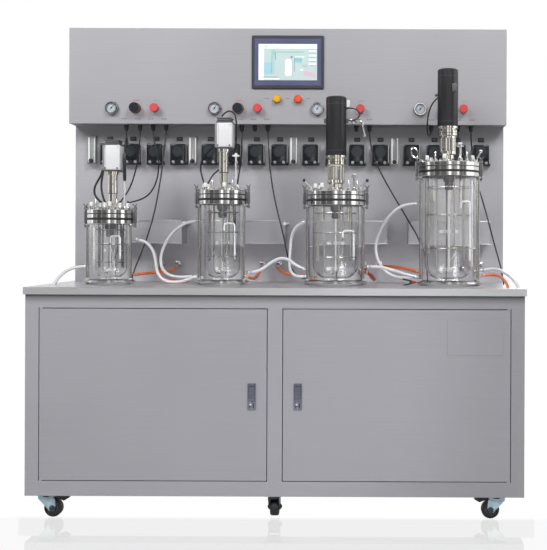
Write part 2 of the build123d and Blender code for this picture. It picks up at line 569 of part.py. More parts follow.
def push_button(name):
    """Mushroom head on a stem that slides in the button's collar."""
    head = turned((0, -20), (11, -20), (11, 10.5), (16, 10.5), (16, 16), (12, 21), (0, 22.5))
    return facing_front(BUTTON_X[name], HEADER_Y, BUTTON_Z) * head


def peristaltic_pumps():
    """Sixteen pump heads in a row: a body on the panel, its motor behind it and a smoked cover."""
    pieces = []
    for n in STATIONS:
        for x in (base + n * PITCH for base in PUMP_X):
            body = block(centred(x, PUMP_SIZE[0]), (WALL_Y - 34, WALL_Y), centred(PUMP_Z, PUMP_SIZE[1]))
            body = chamfer(body.edges().filter_by(Axis.Z).sort_by(Axis.Y)[:2], 9)
            body += bar_y(x, (WALL_Y, WALL_Y + 62), PUMP_Z, PUMP_MOTOR_R)
            cover = block(centred(x, PUMP_SIZE[0] - 20), (WALL_Y - 46, WALL_Y - 34),
                          centred(PUMP_Z + 4, PUMP_SIZE[1] - 12))
            pieces += [body, fillet(cover.edges().filter_by(Axis.Y), 5)]
    return group(pieces)


FLOW_DEPTH = 26.0


def flowmeters():
    """Clear acrylic flow tubes with a bored channel; the stem at the foot carries the knob."""
    pieces = []
    for n in STATIONS:
        x = FLOW_X + n * PITCH
        body = block(centred(x, 34), (WALL_Y - FLOW_DEPTH, WALL_Y), FLOW_Z)
        body -= post(x, WALL_Y - 14, (FLOW_Z[0] + 26, FLOW_Z[1] - 8), 4)
        face = WALL_Y - FLOW_DEPTH
        pieces.append(body + bar_y(x, (face - 10, face), FLOW_Z[0] + 13, STEM_R["flow"]))
    return group(pieces)


def bottle_shelves():
    """Folded sheet troughs on the wall panel, one for each vessel's reagent bottles."""
    pieces = []
    for n in STATIONS:
        x = tuple(edge + n * PITCH for edge in SHELF_X)
        trough = block(x, (SHELF_FRONT, WALL_Y), SHELF_Z)
        hollow = block((x[0] + SHELF_SHEET, x[1] - SHELF_SHEET), (SHELF_FRONT + SHELF_SHEET, WALL_Y - SHELF_SHEET),
                       (SHELF_Z[0] + SHELF_SHEET, SHELF_Z[1] + 1))
        pieces.append(trough - hollow)
    return group(pieces)


def wall_fittings():
    """On the wall panel: two hose couplings and one peg for each vessel."""
    pieces = []
    elbow = turned((0, 0), (6, 0), (6, 10), (11, 10), (11, 18), (8, 20), (8, 26), (0, 26))
    for n in STATIONS:
        for x in (base + n * PITCH for base in COUPLING_X):
            body = bar_y(x, (WALL_Y - 30, WALL_Y + 14), COUPLING_Z, 6)
            body += bar_y(x, (WALL_Y - 12, WALL_Y), COUPLING_Z, 12)
            body += facing_front(x, WALL_Y - 12, COUPLING_Z - 3) * elbow
            pieces.append(body)
        peg = turned((0, 0), (9, 0), (9, 3), (5, 5), (5, 58), (9, 60), (10, 64), (8, 68), (0, 69))
        pieces.append(facing_front(PEG_X + n * PITCH, WALL_Y, PEG_Z) * peg)
    vent = tube_through(((268, HEADER_Y, 1500), (268, 92, 1500), (300, 90, 1498), (316, 90, 1436)), 6.5, 9)
    vent += bar_y(268, (HEADER_Y - 8, HEADER_Y), 1500, 11)
    pieces.append(vent)
    return group(pieces)


def cable_glands():
    """Sixteen glands through the header's underside, four above each vessel."""
    low = -GLAND_DROP
    gland = turned((0, 12), (6, 12), (6, 0), (10, 0), (10, -6), (8.5, -8), (8.5, -18), (5, low), (0, low))
    return group(Pos(x + n * PITCH, GLAND_Y, HEADER_Z) * gland for n in STATIONS for x in GLAND_X)


# ---------------------------------------------------------------- vessels
def glass_radius(v):
    return v.ring_r - GLASS_INSET


def lid_top(v):
    return v.glass_top + RING_HEIGHTS[-1]


def rounded_pot(radius, z, corner):
    """A cylinder with a dished bottom."""
    outline = Polyline((0, z[0]), (radius, z[0]), (radius, z[1]), (0, z[1]), close=True)
    face = make_face(outline)
    lower = [p for p in face.vertices() if p.X > 1 and p.Y < z[0] + 1]
    return revolve(Plane.XZ * fillet(lower, corner), Axis.Z)


def glass_jar(v, ports):
    """Blown vessel in one piece: a round-bottomed jar inside a jacket, with ports into the jacket."""
    outer_r = glass_radius(v)
    inner_r = outer_r - 2 * GLASS_WALL - JACKET
    top = v.glass_top + RING_HEIGHTS[2]
    jar = rounded_pot(outer_r, (GLASS_BOTTOM, top), 6)
    jacket = rounded_pot(outer_r - GLASS_WALL, (GLASS_BOTTOM + GLASS_WALL, top - 50), 3)
    inner_z = GLASS_BOTTOM + GLASS_WALL + JACKET
    jacket -= rounded_pot(inner_r + GLASS_WALL, (inner_z, top), 0.62 * inner_r + GLASS_WALL)
    jar -= jacket
    jar -= rounded_pot(inner_r, (inner_z + GLASS_WALL, top + 1), 0.62 * inner_r)
    for angle, z in ports:
        stub = bar_x((outer_r - GLASS_WALL / 2, outer_r + PORT_REACH), 0, z, PORT_R)
        bore = bar_x((outer_r - GLASS_WALL - 1, outer_r + PORT_REACH + 1), 0, z, PORT_R - 2)
        jar = jar + Rot(0, 0, angle) * stub - Rot(0, 0, angle) * bore
    return Pos(v.x, VESSEL_Y, 0) * jar


def jar_stand(v):
    """Welded frame: the base ring on three feet, three rods and the ring under the clamped joint."""
    x, y = v.x, VESSEL_Y
    stand = ring(x, y, STAND_Z, v.ring_r + 10, v.ring_r - 34)
    stand += ring(x, y, (v.glass_top, v.glass_top + RING_HEIGHTS[1]), v.ring_r, glass_radius(v) + 1)
    for angle in ROD_ANGLES:
        dx, dy = around(angle, v.ring_r - ROD_R - 1)
        stand += post(x + dx, y + dy, (STAND_Z[0], v.glass_top + 5), ROD_R)
        dx, dy = around(angle, v.ring_r)
        stand += post(x + dx, y + dy, (BENCH, STAND_Z[0]), 9)
        dx, dy = around(angle + 60, v.ring_r - 26)
        stand += post(x + dx, y + dy, (STAND_Z[1], GLASS_BOTTOM), 7)
    return stand


def seam(v, level):
    """The groove where a gasket sits between two rings."""
    z = v.glass_top + RING_HEIGHTS[level]
    return ring(v.x, VESSEL_Y, (z - 0.1, z + 1.3), v.ring_r + 1, v.ring_r - 3)


def vessel_head(v):
    """Above the glass: the vessel ring, the lid and the bearing column that carries the motor."""
    x, y = v.x, VESSEL_Y
    middle_z, lid_z = (tuple(v.glass_top + h for h in RING_HEIGHTS[i:i + 2]) for i in (1, 2))
    middle = ring(x, y, middle_z, v.ring_r, glass_radius(v) + 1) - seam(v, 1)
    lid = post(x, y, lid_z, v.ring_r) - seam(v, 2) - post(x, y, (0, TOP), SHAFT_R + RUNNING)
    return [middle, lid, slim_column(v) if v.column_r[1] < 20 else lantern_column(v)]


def slim_column(v):
    """Hollow two-diameter column with a foot flange, and the collar under the motor."""
    z, (lower_r, upper_r) = lid_top(v), v.column_r
    step = z + 0.42 * (v.motor_z - z)
    bore = SHAFT_R + RUNNING
    tube = turned((bore, z), (lower_r + 8, z), (lower_r + 8, z + 6), (lower_r, z + 8), (lower_r, step),
                  (upper_r, step + 2), (upper_r, v.motor_z - 12), (upper_r + 5, v.motor_z - 12),
                  (upper_r + 5, v.motor_z), (9, v.motor_z), (9, z + 20), (bore, z + 20))
    return Pos(v.x, VESSEL_Y, 0) * tube


def lantern_column(v):
    """Stout hub, slotted lantern round the coupling and the adapter that the motor bolts to."""
    z, (lower_r, upper_r) = lid_top(v), v.column_r
    lantern_z = (z + 37, v.motor_z - 39)
    bore, room = SHAFT_R + RUNNING, upper_r - 8
    body = turned((bore, z), (lower_r + 8, z), (lower_r + 8, z + 9), (lower_r, z + 11), (lower_r, z + 30),
                  (upper_r, lantern_z[0]), (upper_r, lantern_z[1]), (37, lantern_z[1] + 2),
                  (37, v.motor_z - 9), (39.5, v.motor_z - 7), (39.5, v.motor_z), (room, v.motor_z),
                  (room, lantern_z[0]), (bore, lantern_z[0]))
    for angle in (25, 115):
        slot = block((-60, 60), (-9, 9), (lantern_z[0] + 8, lantern_z[1] - 8))
        body -= Rot(0, 0, angle) * slot
    return Pos(v.x, VESSEL_Y, 0) * body


def stirrer_motor(v):
    """Geared motor: a boxy one with a dark cap on the small vessels, a tall round one on the large."""
    x, y = v.x, VESSEL_Y
    if v.column_r[1] < 20:
        case = block(centred(x, 74), centred(y, 76), (v.motor_z, v.motor_top))
        case = fillet(case.edges().filter_by(Axis.Z), 9)
        cap = block(centred(x, 62), centred(y, 64), (v.motor_top, v.motor_top + 20))
        return [case, fillet(cap.edges().filter_by(Axis.Z), 7)]
    case = turned((0, v.motor_z), (40, v.motor_z), (40, v.motor_top - 6), (34, v.motor_top), (0, v.motor_top))
    box_z = (v.motor_z + 108, v.motor_z + 138)
    return [Pos(x, y, 0) * case - block((x - 12, x + 12), (y - 41, y - 39.2), box_z)]


def stirrer(v):
    """The turning assembly: shaft, two impellers and, in a lantern, the coupling half."""
    x, y, z = v.x, VESSEL_Y, lid_top(v)
    tall = v.column_r[1] > 20
    shaft_top = z + 60 if tall else v.motor_z - 2
    shaft = post(0, 0, (SHAFT_BOTTOM, shaft_top), SHAFT_R)
    upper = SHAFT_BOTTOM + 0.42 * (v.glass_top - SHAFT_BOTTOM)
    pieces = [shaft, rushton(v.impeller_r, SHAFT_BOTTOM + 10), rushton(v.impeller_r, upper)]
    if tall:
        pieces.append(ring(0, 0, (z + 46, v.motor_z - 1), 17, SHAFT_R) + post(0, 0, (z + 60, v.motor_z - 1), SHAFT_R))
    return Pos(x, y, 0) * group(pieces)


def rushton(radius, z):
    """Disc impeller with six flat blades, on a hub clamped round the shaft."""
    wheel = ring(0, 0, (z - 6, z + 10), 9, SHAFT_R)
    wheel += ring(0, 0, (z, z + 2), 0.7 * radius, SHAFT_R)
    for k in range(6):
        wheel += Rot(0, 0, 60 * k) * block((0.5 * radius, radius), (-0.8, 0.8), (z - 5, z + 7))
    return wheel


def vessel_internals(v):
    """Inside the jar, hung from the lid: the baffle cage, a sparger, a dip tube and two probes."""
    x, y = v.x, VESSEL_Y
    wall_r = glass_radius(v) - 2 * GLASS_WALL - JACKET
    under_lid, depth = v.glass_top + RING_HEIGHTS[2], v.glass_top - GLASS_BOTTOM
    cage_r = wall_r - 5
    hoops = (v.glass_top - 0.1 * depth, v.glass_top - 0.36 * depth, v.glass_top - 0.68 * depth)
    cage = Pos(0, 0, hoops[0]) * Torus(cage_r, 1.6)
    for z in hoops[1:]:
        cage += Pos(0, 0, z) * Torus(cage_r, 1.6)
    for angle in (40, 160, 280):
        dx, dy = around(angle, cage_r)
        cage += post(dx, dy, (hoops[2] - 20, under_lid), 2.2)
    sparger = tube_through(((-0.52 * wall_r, 6, under_lid), (-0.52 * wall_r, 6, SHAFT_BOTTOM + 14),
                            (-8, 4, SHAFT_BOTTOM - 9)), 3.0, 22)
    dip = tube_through(((0.3 * wall_r, 0.62 * wall_r, under_lid), (0.3 * wall_r, 0.62 * wall_r, 960),
                        (0.05 * wall_r, 0.5 * wall_r, 925)), 2.5, 14)
    probe = post(0.66 * wall_r, 4, (SHAFT_BOTTOM + 46, under_lid), 6)
    sensor = post(-0.34 * wall_r, 0.6 * wall_r, (SHAFT_BOTTOM + 70, under_lid), 6)
    return [Pos(x, y, 0) * piece for piece in (cage, sparger, dip, probe, sensor)]


def tube_through(points, radius, bend):
    """A bent metal tube, drawn solid."""
    path = FilletPolyline(*points, radius=bend)
    start = Vector(*points[0])
    return sweep(Plane(start, z_dir=Vector(*points[1]) - start) * Circle(radius), path=path)


LID_PORT_SHAPES = {
    "probe": ((0, 0), (10, 0), (10, 7), (8, 8), (8, 15), (6, 16), (6, 24), (0, 24)),
    "cap": ((0, 0), (8, 0), (8, 9), (7, 10), (7, 24), (5.5, 26), (0, 26)),
    "tube": ((0, 0), (7, 0), (7, 8), (3, 9), (3, 36), (0, 36)),
    "sampler": ((0, 0), (9, 0), (9, 12), (5, 14), (5, 64), (10, 65), (10, 69), (0, 69)),
    "tall_sampler": ((0, 0), (9, 0), (9, 12), (4, 14), (4, 126), (12, 128), (12, 134), (6, 136), (6, 142), (0, 142)),
    "sleeve": ((0, 0), (9, 0), (9, 8), (3.5, 9), (3.5, 108), (6.5, 111), (6.5, 216), (5, 219), (0, 219)),
}


def head_fittings(v, ports):
    """Ports, caps and sample valves on one lid, and the two clamps that hold the rings together."""
    z = lid_top(v)
    pieces = [Pos(v.x + dx, VESSEL_Y + dy, z) * turned(*LID_PORT_SHAPES[kind]) for dx, dy, kind in ports]
    reach = (v.ring_r + 0.4, v.ring_r + 15)
    for angle in (0, 180):
        clamp = block(reach, (-10, 10), (v.glass_top - 7, z + 8))
        clamp += block((v.ring_r - 9, reach[1]), (-10, 10), (z, z + 8))
        clamp += block((v.ring_r - 6, reach[1]), (-10, 10), (v.glass_top - 7, v.glass_top))
        clamp += post(v.ring_r + 3, 0, (z + 8, z + 20), 5)
        pieces.append(Pos(v.x, VESSEL_Y, 0) * Rot(0, 0, angle) * clamp)
    return pieces


def lid_handles():
    """Lever handles on the third lid and loop handles on the fourth, at both sides."""
    pieces = []
    for side in (-1, 1):
        v = VESSELS[2]
        x, z = v.x + side * (v.ring_r - 18), lid_top(v)
        lever = tube_through(((x, VESSEL_Y - 26, z), (x, VESSEL_Y - 26, z + 16), (x + side * 26, VESSEL_Y - 30, z + 42)),
                             3.2, 10)
        pieces.append(lever + Pos(x + side * 26, VESSEL_Y - 30, z + 42) * Sphere(5.5))
        v = VESSELS[3]
        x, z = v.x + side * (v.ring_r - 14), lid_top(v)
        tip, front, back = x + side * 14, VESSEL_Y - 40, VESSEL_Y - 14
        pieces.append(tube_through(((x, front, z), (x, front, z + 10), (tip, front, z + 42), (tip, back, z + 42),
                                    (x, back, z + 10), (x, back, z)), 3.0, 9))
    return pieces


# ---------------------------------------------------------------- every node
def caster_nodes():
    nodes = {}
    for name, x, y, trail in caster_sites():
        nodes[f"caster_fork_{name}"] = on_caster(x, y, trail, caster_fork())
        nodes[f"caster_wheel_{name}"] = on_caster(x, y, trail, caster_wheel())
        if name in ("front_left", "front_right"):
            nodes[f"brake_pedal_{name}"] = on_caster(x, y, trail, brake_pedal())
    return nodes


def station_nodes():
    nodes = {}
    for n, v in enumerate(VESSELS):
        nodes[f"stirrer_{n + 1}"] = stirrer(v)
        nodes[f"pressure_knob_{n + 1}"] = pressure_knob(n)
        nodes[f"valve_knob_{n + 1}"] = valve_knob(n)
        nodes[f"flow_knob_{n + 1}"] = flow_knob(n)
    return nodes


def all_nodes():
    nodes = {
        "cabinet_body": cabinet_body(),
        "worktop": worktop(),
        "upper_cabinet": upper_cabinet(),
        "rear_covers": rear_covers(),
        "door_hinge_pins": door_hinge_pins(),
        "caster_plates": caster_plates(),
        "circulation_units": circulation_units(),
        "touch_screen": touch_screen(),
        "panel_instruments": panel_instruments(),
        "peristaltic_pumps": peristaltic_pumps(),
        "flowmeters": flowmeters(),
        "bottle_shelves": bottle_shelves(),
        "wall_fittings": wall_fittings(),
        "cable_glands": cable_glands(),
        "glass_jars": group(glass_jar(v, ports) for v, ports in zip(VESSELS, JACKET_PORTS)),
        "jar_stands": group(jar_stand(v) for v in VESSELS),
        "vessel_heads": group(piece for v in VESSELS for piece in vessel_head(v)),
        "head_fittings": group([piece for v, ports in zip(VESSELS, LID_PORTS)
                                for piece in head_fittings(v, ports)] + lid_handles()),
        "vessel_internals": group(piece for v in VESSELS for piece in vessel_internals(v)),
        "stirrer_motors": group(piece for v in VESSELS for piece in stirrer_motor(v)),
        "sensor_cables": group(hose(*line) for line in CABLES),
        "jacket_hoses": group(hose(*line) for line in HOSES),
        "start_button": push_button("start"),
        "stop_button": push_button("stop"),
    }
    for word, side in (("left", -1), ("right", 1)):
        nodes[f"door_{word}"] = door(side)
        nodes[f"lock_plate_{word}"] = lock_plate(side)
        nodes[f"lock_lever_{word}"] = lock_lever(side)
    return nodes | caster_nodes() | station_nodes()


os.makedirs("parts", exist_ok=True)
for node, shape in all_nodes().items():
    export_step(shape, f"parts/{node}.step")
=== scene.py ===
# %% [markdown]
# A bench bioreactor station: four jacketed glass vessels stand on a steel cabinet, below a header
# with a touch screen, gauges and pumps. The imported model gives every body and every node, so this
# lesson starts by loading it as a fixed frame. The faces of the header, the cabinet and the rear
# covers are read from it, and all other pieces are placed in the same metres.

# %% Load the frame
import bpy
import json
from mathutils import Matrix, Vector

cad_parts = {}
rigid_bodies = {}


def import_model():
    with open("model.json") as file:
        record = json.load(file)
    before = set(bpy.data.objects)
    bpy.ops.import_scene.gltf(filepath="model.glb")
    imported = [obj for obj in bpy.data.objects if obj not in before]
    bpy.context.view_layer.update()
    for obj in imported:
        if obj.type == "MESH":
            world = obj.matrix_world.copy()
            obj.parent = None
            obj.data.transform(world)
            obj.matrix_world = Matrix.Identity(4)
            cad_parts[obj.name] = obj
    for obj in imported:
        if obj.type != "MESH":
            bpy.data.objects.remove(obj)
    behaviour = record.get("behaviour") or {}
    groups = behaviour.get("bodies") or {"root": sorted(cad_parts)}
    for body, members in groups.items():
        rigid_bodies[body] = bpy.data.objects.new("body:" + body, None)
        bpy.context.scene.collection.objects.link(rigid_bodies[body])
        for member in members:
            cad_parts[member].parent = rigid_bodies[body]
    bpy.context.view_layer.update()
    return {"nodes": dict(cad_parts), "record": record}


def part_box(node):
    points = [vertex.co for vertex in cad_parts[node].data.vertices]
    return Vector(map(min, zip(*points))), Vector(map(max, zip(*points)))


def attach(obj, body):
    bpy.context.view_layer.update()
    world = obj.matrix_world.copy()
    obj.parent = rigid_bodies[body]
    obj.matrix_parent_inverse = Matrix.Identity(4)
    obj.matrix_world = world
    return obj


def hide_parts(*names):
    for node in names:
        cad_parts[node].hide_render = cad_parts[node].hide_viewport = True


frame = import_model()

import json
from math import cos, radians, sin

import bmesh
import bpy
from mathutils import Matrix, Vector

scene = bpy.context.scene
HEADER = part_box("upper_cabinet")[0][1]  # front of the header
WALL = HEADER + .092  # front of the panel that stands back under the header
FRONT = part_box("cabinet_body")[0][1]
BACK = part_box("rear_covers")[1][1]
print("header", HEADER, "wall", WALL, "cabinet front", FRONT, "back", BACK)

# %% [markdown]
# The station is seen straight from the front, by a long lens that stands right of its middle at
# chest height. The camera could be turned to centre the cabinet, but then its upright edges would
# lean, so the lens is shifted sideways and down instead, as an architect's camera does.

# %% Camera
lens = bpy.data.cameras.new("front_camera")
lens.lens, lens.sensor_width = 63.75, 36.0
lens.shift_x, lens.shift_y = -0.177, -0.058
camera = bpy.data.objects.new("front_camera", lens)
camera.location = (0.344, -3.890, 0.999)
camera.rotation_euler = (radians(90), radians(-0.23), 0)
scene.collection.objects.link(camera)
scene.camera = camera
print("camera", lens.lens, "mm at", tuple(camera.location))

# %% [markdown]
# The room, the floor and every finish are trees of shader nodes. A tree is quick to read when its
# nodes are made in one call each, so three short helpers come first: one makes a node and sets its
# plain values, one links two sockets, and one does sums between sockets and numbers.

# %% Helpers for node trees
def node(owner, kind, **inputs):
    """A shader node of a material or of the world, with plain values set on its own sockets."""
    made = owner.node_tree.nodes.new("ShaderNode" + kind)
    for socket, value in inputs.items():
        made.inputs[socket.replace("_", " ")].default_value = value
    return made


def link(owner, start, end):
    owner.node_tree.links.new(start, end)


def calc(owner, operation, *values):
    """A math node, whose inputs are sockets or plain numbers."""
    made = node(owner, "Math")
    made.operation = operation
    for value, socket in zip(values, made.inputs):
        if isinstance(value, bpy.types.NodeSocket):
            link(owner, value, socket)
        else:
            socket.default_value = value
    return made.outputs[0]


# %% [markdown]
# The studio is a white room. Two soft lamps of nearly the same power stand high in front, one at
# each side, so that they light the header most and leave a deep shadow under it, and a weaker one
# stands behind. The world shows plain white to the camera and to glass. Polished metal sees a mid
# grey in front of it and the white backdrop behind it, and matt surfaces get little light from it.

# %% World
SKY_MATT, SKY_GLOSSY, SKY_SEEN = 0.06, 0.45, 1.0
BACKDROP_FROM = 0.1  # how far a ray points backwards when it begins to meet the backdrop
world = bpy.data.worlds.new("white_studio")
scene.world = world
world.use_nodes = True
world.node_tree.nodes.clear()
rays = node(world, "LightPath").outputs
direction = node(world, "SeparateXYZ")
link(world, node(world, "TexCoord").outputs["Generated"], direction.inputs[0])
backwards = calc(world, "GREATER_THAN", direction.outputs["Y"], BACKDROP_FROM)
backdrop = calc(world, "MULTIPLY", backwards, rays["Is Glossy Ray"])
level = SKY_MATT
for kind, brightness in (("Camera", SKY_SEEN), ("Transmission", SKY_SEEN), ("Glossy", SKY_GLOSSY)):
    level = calc(world, "MULTIPLY_ADD", rays[f"Is {kind} Ray"], brightness - SKY_MATT, level)
level = calc(world, "MINIMUM", calc(world, "ADD", level, backdrop), SKY_SEEN)
sky = node(world, "Background", Color=(1, 1, 1, 1))
link(world, level, sky.inputs["Strength"])
link(world, sky.outputs[0], node(world, "OutputWorld").inputs["Surface"])

# %% Lamps
def soft_lamp(name, place, target, size, watts):
    """A square area lamp that looks at a target."""
    data = bpy.data.lights.new(name, "AREA")
    data.size, data.energy = size, watts
    lamp = bpy.data.objects.new(name, data)
    lamp.location = place
    lamp.rotation_euler = (Vector(target) - Vector(place)).to_track_quat("-Z", "Y").to_euler()
    scene.collection.objects.link(lamp)
    print(name, watts, "W")


soft_lamp("key_lamp", (3.9, -6.6, 6.9), (0.0, 0.0, 1.2), 3.0, 470)
soft_lamp("second_lamp", (-4.6, -6.6, 6.5), (0.0, 0.0, 1.2), 3.8, 480)
soft_lamp("rear_lamp", (1.4, 6.0, 4.2), (0.0, 0.4, 0.9), 3.0, 240)
scene.view_settings.view_transform = "Standard"

# %% [markdown]
# A finish is built once and given to many pieces. All but the clear ones are made from noise that
# is read in object coordinates, which stay with the piece and need no unwrapping. One helper starts
# a material, and another adds stretched noise: its scale along each axis makes it read as the
# grain of brushed sheet, as the mottle of cast metal or as the fine orange peel of moulded plastic.

# %% Helpers for finishes
def shader(material):
    return material.node_tree.nodes["Principled BSDF"]


def finish(name, colour, roughness, metallic=0.0, **sockets):
    """A principled material, with its plain values set on the shader's own sockets."""
    material = bpy.data.materials.new(name)
    material.use_nodes = True
    inputs = shader(material).inputs
    inputs["Base Color"].default_value = (*colour, 1)
    inputs["Roughness"].default_value = roughness
    inputs["Metallic"].default_value = metallic
    for socket, value in sockets.items():
        inputs[socket.replace("_", " ")].default_value = value
    return material


def grain(material, scale, detail):
    """Noise in object coordinates, stretched by a scale along each axis."""
    place = node(material, "TexCoord")
    stretch = node(material, "Mapping", Scale=scale)
    noise = node(material, "TexNoise", Scale=1.0, Detail=detail, Roughness=0.5)
    link(material, place.outputs["Object"], stretch.inputs["Vector"])
    link(material, stretch.outputs["Vector"], noise.inputs["Vector"])
    return noise.outputs["Fac"]


def vary_colour(material, factor, colour, contrast, low=0.3, high=0.7):
    """Runs a factor through a ramp from a little darker than a colour to a little lighter."""
    ramp = node(material, "ValToRGB")
    dark, light = ramp.color_ramp.elements[0], ramp.color_ramp.elements[1]
    dark.position, light.position = low, high
    dark.color = (*[c * (1 - contrast) for c in colour], 1)
    light.color = (*[min(1.0, c * (1 + contrast)) for c in colour], 1)
    link(material, factor, ramp.inputs["Fac"])
    link(material, ramp.outputs["Color"], shader(material).inputs["Base Color"])


def vary_roughness(material, factor, low, high):
    spread = node(material, "MapRange", To_Min=low, To_Max=high)
    link(material, factor, spread.inputs["Value"])
    link(material, spread.outputs["Result"], shader(material).inputs["Roughness"])


def emboss(material, factor, strength):
    bump = node(material, "Bump", Strength=strength, Distance=0.0002)
    link(material, factor, bump.inputs["Height"])
    link(material, bump.outputs["Normal"], shader(material).inputs["Normal"])


def brushed(name, colour, roughness=0.45, scale=(3, 60, 420), metallic=0.2):
    """Brushed sheet steel: long fine streaks in its colour and gloss, over a slow cloudy tint."""
    material = finish(name, colour, roughness, metallic)
    streaks = grain(material, scale, 4.0)
    cloud = grain(material, (1.4, 1.4, 1.1), 2.0)
    vary_colour(material, calc(material, "MULTIPLY_ADD", streaks, 0.55, cloud), colour, 0.06, 0.45, 1.1)
    vary_roughness(material, streaks, roughness - 0.05, roughness + 0.07)
    emboss(material, streaks, 0.08)
    return material


def plain_metal(name, colour, roughness, speckle=140, contrast=0.08, metallic=1.0):
    """Turned, cast or plated metal with a fine even mottle."""
    material = finish(name, colour, roughness, metallic)
    mottle = grain(material, (speckle, speckle, speckle), 3.0)
    vary_colour(material, mottle, colour, contrast)
    vary_roughness(material, mottle, max(0.02, roughness - 0.04), roughness + 0.06)
    emboss(material, mottle, 0.06)
    return material


def moulded(name, colour, roughness, peel=500, contrast=0.1, **sockets):
    """Moulded plastic or rubber with a fine skin."""
    material = finish(name, colour, roughness, **sockets)
    skin = grain(material, (peel, peel, peel), 2.0)
    vary_colour(material, grain(material, (9, 9, 9), 2.0), colour, contrast)
    vary_roughness(material, skin, max(0.02, roughness - 0.04), roughness + 0.06)
    emboss(material, skin, 0.1)
    return material


# %% [markdown]
# The floor is white, and its front is glossy, so that it mirrors the casters faintly. A white plane
# alone would turn grey under soft lamps. To the camera it therefore glows, with a mirror that fades
# in just before the casters, and to every other ray it is ordinary matt white.

# %% Floor
MIRROR_FROM, MIRROR_FULL, MIRROR_SHARE = -0.33, -0.39, 0.27
floor_finish = bpy.data.materials.new("studio_floor")
floor_finish.use_nodes = True
floor_finish.node_tree.nodes.clear()
under = node(floor_finish, "BsdfDiffuse", Color=(0.012, 0.012, 0.012, 1))
glow = node(floor_finish, "Emission", Strength=1.0)
white = node(floor_finish, "AddShader")
mirror = node(floor_finish, "BsdfGlossy", Roughness=0.03)
glazed = node(floor_finish, "MixShader")
where = node(floor_finish, "NewGeometry")
depth = node(floor_finish, "SeparateXYZ")
polish = node(floor_finish, "MapRange", From_Min=MIRROR_FROM, From_Max=MIRROR_FULL, To_Min=0.0,
              To_Max=MIRROR_SHARE)
polish.interpolation_type = "SMOOTHSTEP"
plain = node(floor_finish, "BsdfDiffuse", Color=(0.8, 0.8, 0.8, 1))
rays = node(floor_finish, "LightPath")
pick = node(floor_finish, "MixShader")
out = node(floor_finish, "OutputMaterial")
for start, end in ((under.outputs[0], white.inputs[0]), (glow.outputs[0], white.inputs[1]),
                   (white.outputs[0], glazed.inputs[1]), (mirror.outputs[0], glazed.inputs[2]),
                   (where.outputs["Position"], depth.inputs[0]), (depth.outputs["Y"], polish.inputs["Value"]),
                   (polish.outputs["Result"], glazed.inputs["Fac"]), (plain.outputs[0], pick.inputs[1]),
                   (rays.outputs["Is Camera Ray"], pick.inputs["Fac"]), (glazed.outputs[0], pick.inputs[2]),
                   (pick.outputs[0], out.inputs["Surface"])):
    link(floor_finish, start, end)
mesh = bpy.data.meshes.new("studio_floor")
part = bmesh.new()
bmesh.ops.create_grid(part, x_segments=2, y_segments=2, size=30)
part.to_mesh(mesh)
part.free()
mesh.materials.append(floor_finish)
floor = bpy.data.objects.new("studio_floor", mesh)
scene.collection.objects.link(floor)

# %% [markdown]
# Sensor leads hang from glands under the header, and hoses lie over the worktop. A bent mesh tube
# would need its own sections, while a curve with a round bevel is the same thing with a handful of
# points, and stays smooth at any distance. Each line is one NURBS curve through its route, as thick as
# the real line, and its length is printed.

# %% Finishes of leads and hoses
lead_black = moulded("lead_black", (0.008, 0.008, 0.010), 0.42, 300)
hose_white = moulded("hose_white", (0.72, 0.72, 0.75), 0.34, 120, 0.06, Subsurface_Weight=0.15)
shader(hose_white).inputs["Subsurface Radius"].default_value = (0.004, 0.004, 0.004)
hose_orange = moulded("hose_orange", (0.72, 0.17, 0.06), 0.36, 120, 0.12)
hose_red = moulded("hose_red", (0.35, 0.035, 0.02), 0.38, 120, 0.12)


# %% Helpers for leads and hoses
def round_curve(name, points, radius, steps, kind="NURBS"):
    """A curve with a round section and closed ends, through its points."""
    curve = bpy.data.curves.new(name, "CURVE")
    curve.dimensions = "3D"
    curve.bevel_depth, curve.bevel_resolution, curve.resolution_u = radius, 3, steps
    curve.use_fill_caps = True
    spline = curve.splines.new(kind)
    spline.points.add(len(points) - 1)
    for place, point in zip(points, spline.points):
        point.co = (*place, 1)
    spline.order_u = 3
    spline.use_endpoint_u = True
    return curve


def line(name, diameter, length, stiffness, lay, material, slot, node_name, *points):
    """One lead or hose: a NURBS curve through its route, from its exit to where it goes back in."""
    curve = round_curve(name, points, diameter / 2, 10)
    curve.materials.append(material)
    piece = bpy.data.objects.new(name, curve)
    scene.collection.objects.link(piece)
    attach(piece, "station")
    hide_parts(node_name)
    print(name, len(points), "points,", length, "m long")


def lead(name, length, *points, diameter=0.006, stiffness="medium"):
    line(name, diameter, length, stiffness, "hanging", lead_black, "cable_black", "sensor_cables", *points)


def hose(name, length, material, *points):
    line(name, 0.012, length, "medium", "loose", material, "silicone", "jacket_hoses", *points)


# %% [markdown]
# Leads run from the glands or from a motor to the white heads of the probes, or down to the foot of a
# jar. Each sags by its own weight, so a route is a few points along the sag, and the limp ones of the
# two middle motors bend most tightly.

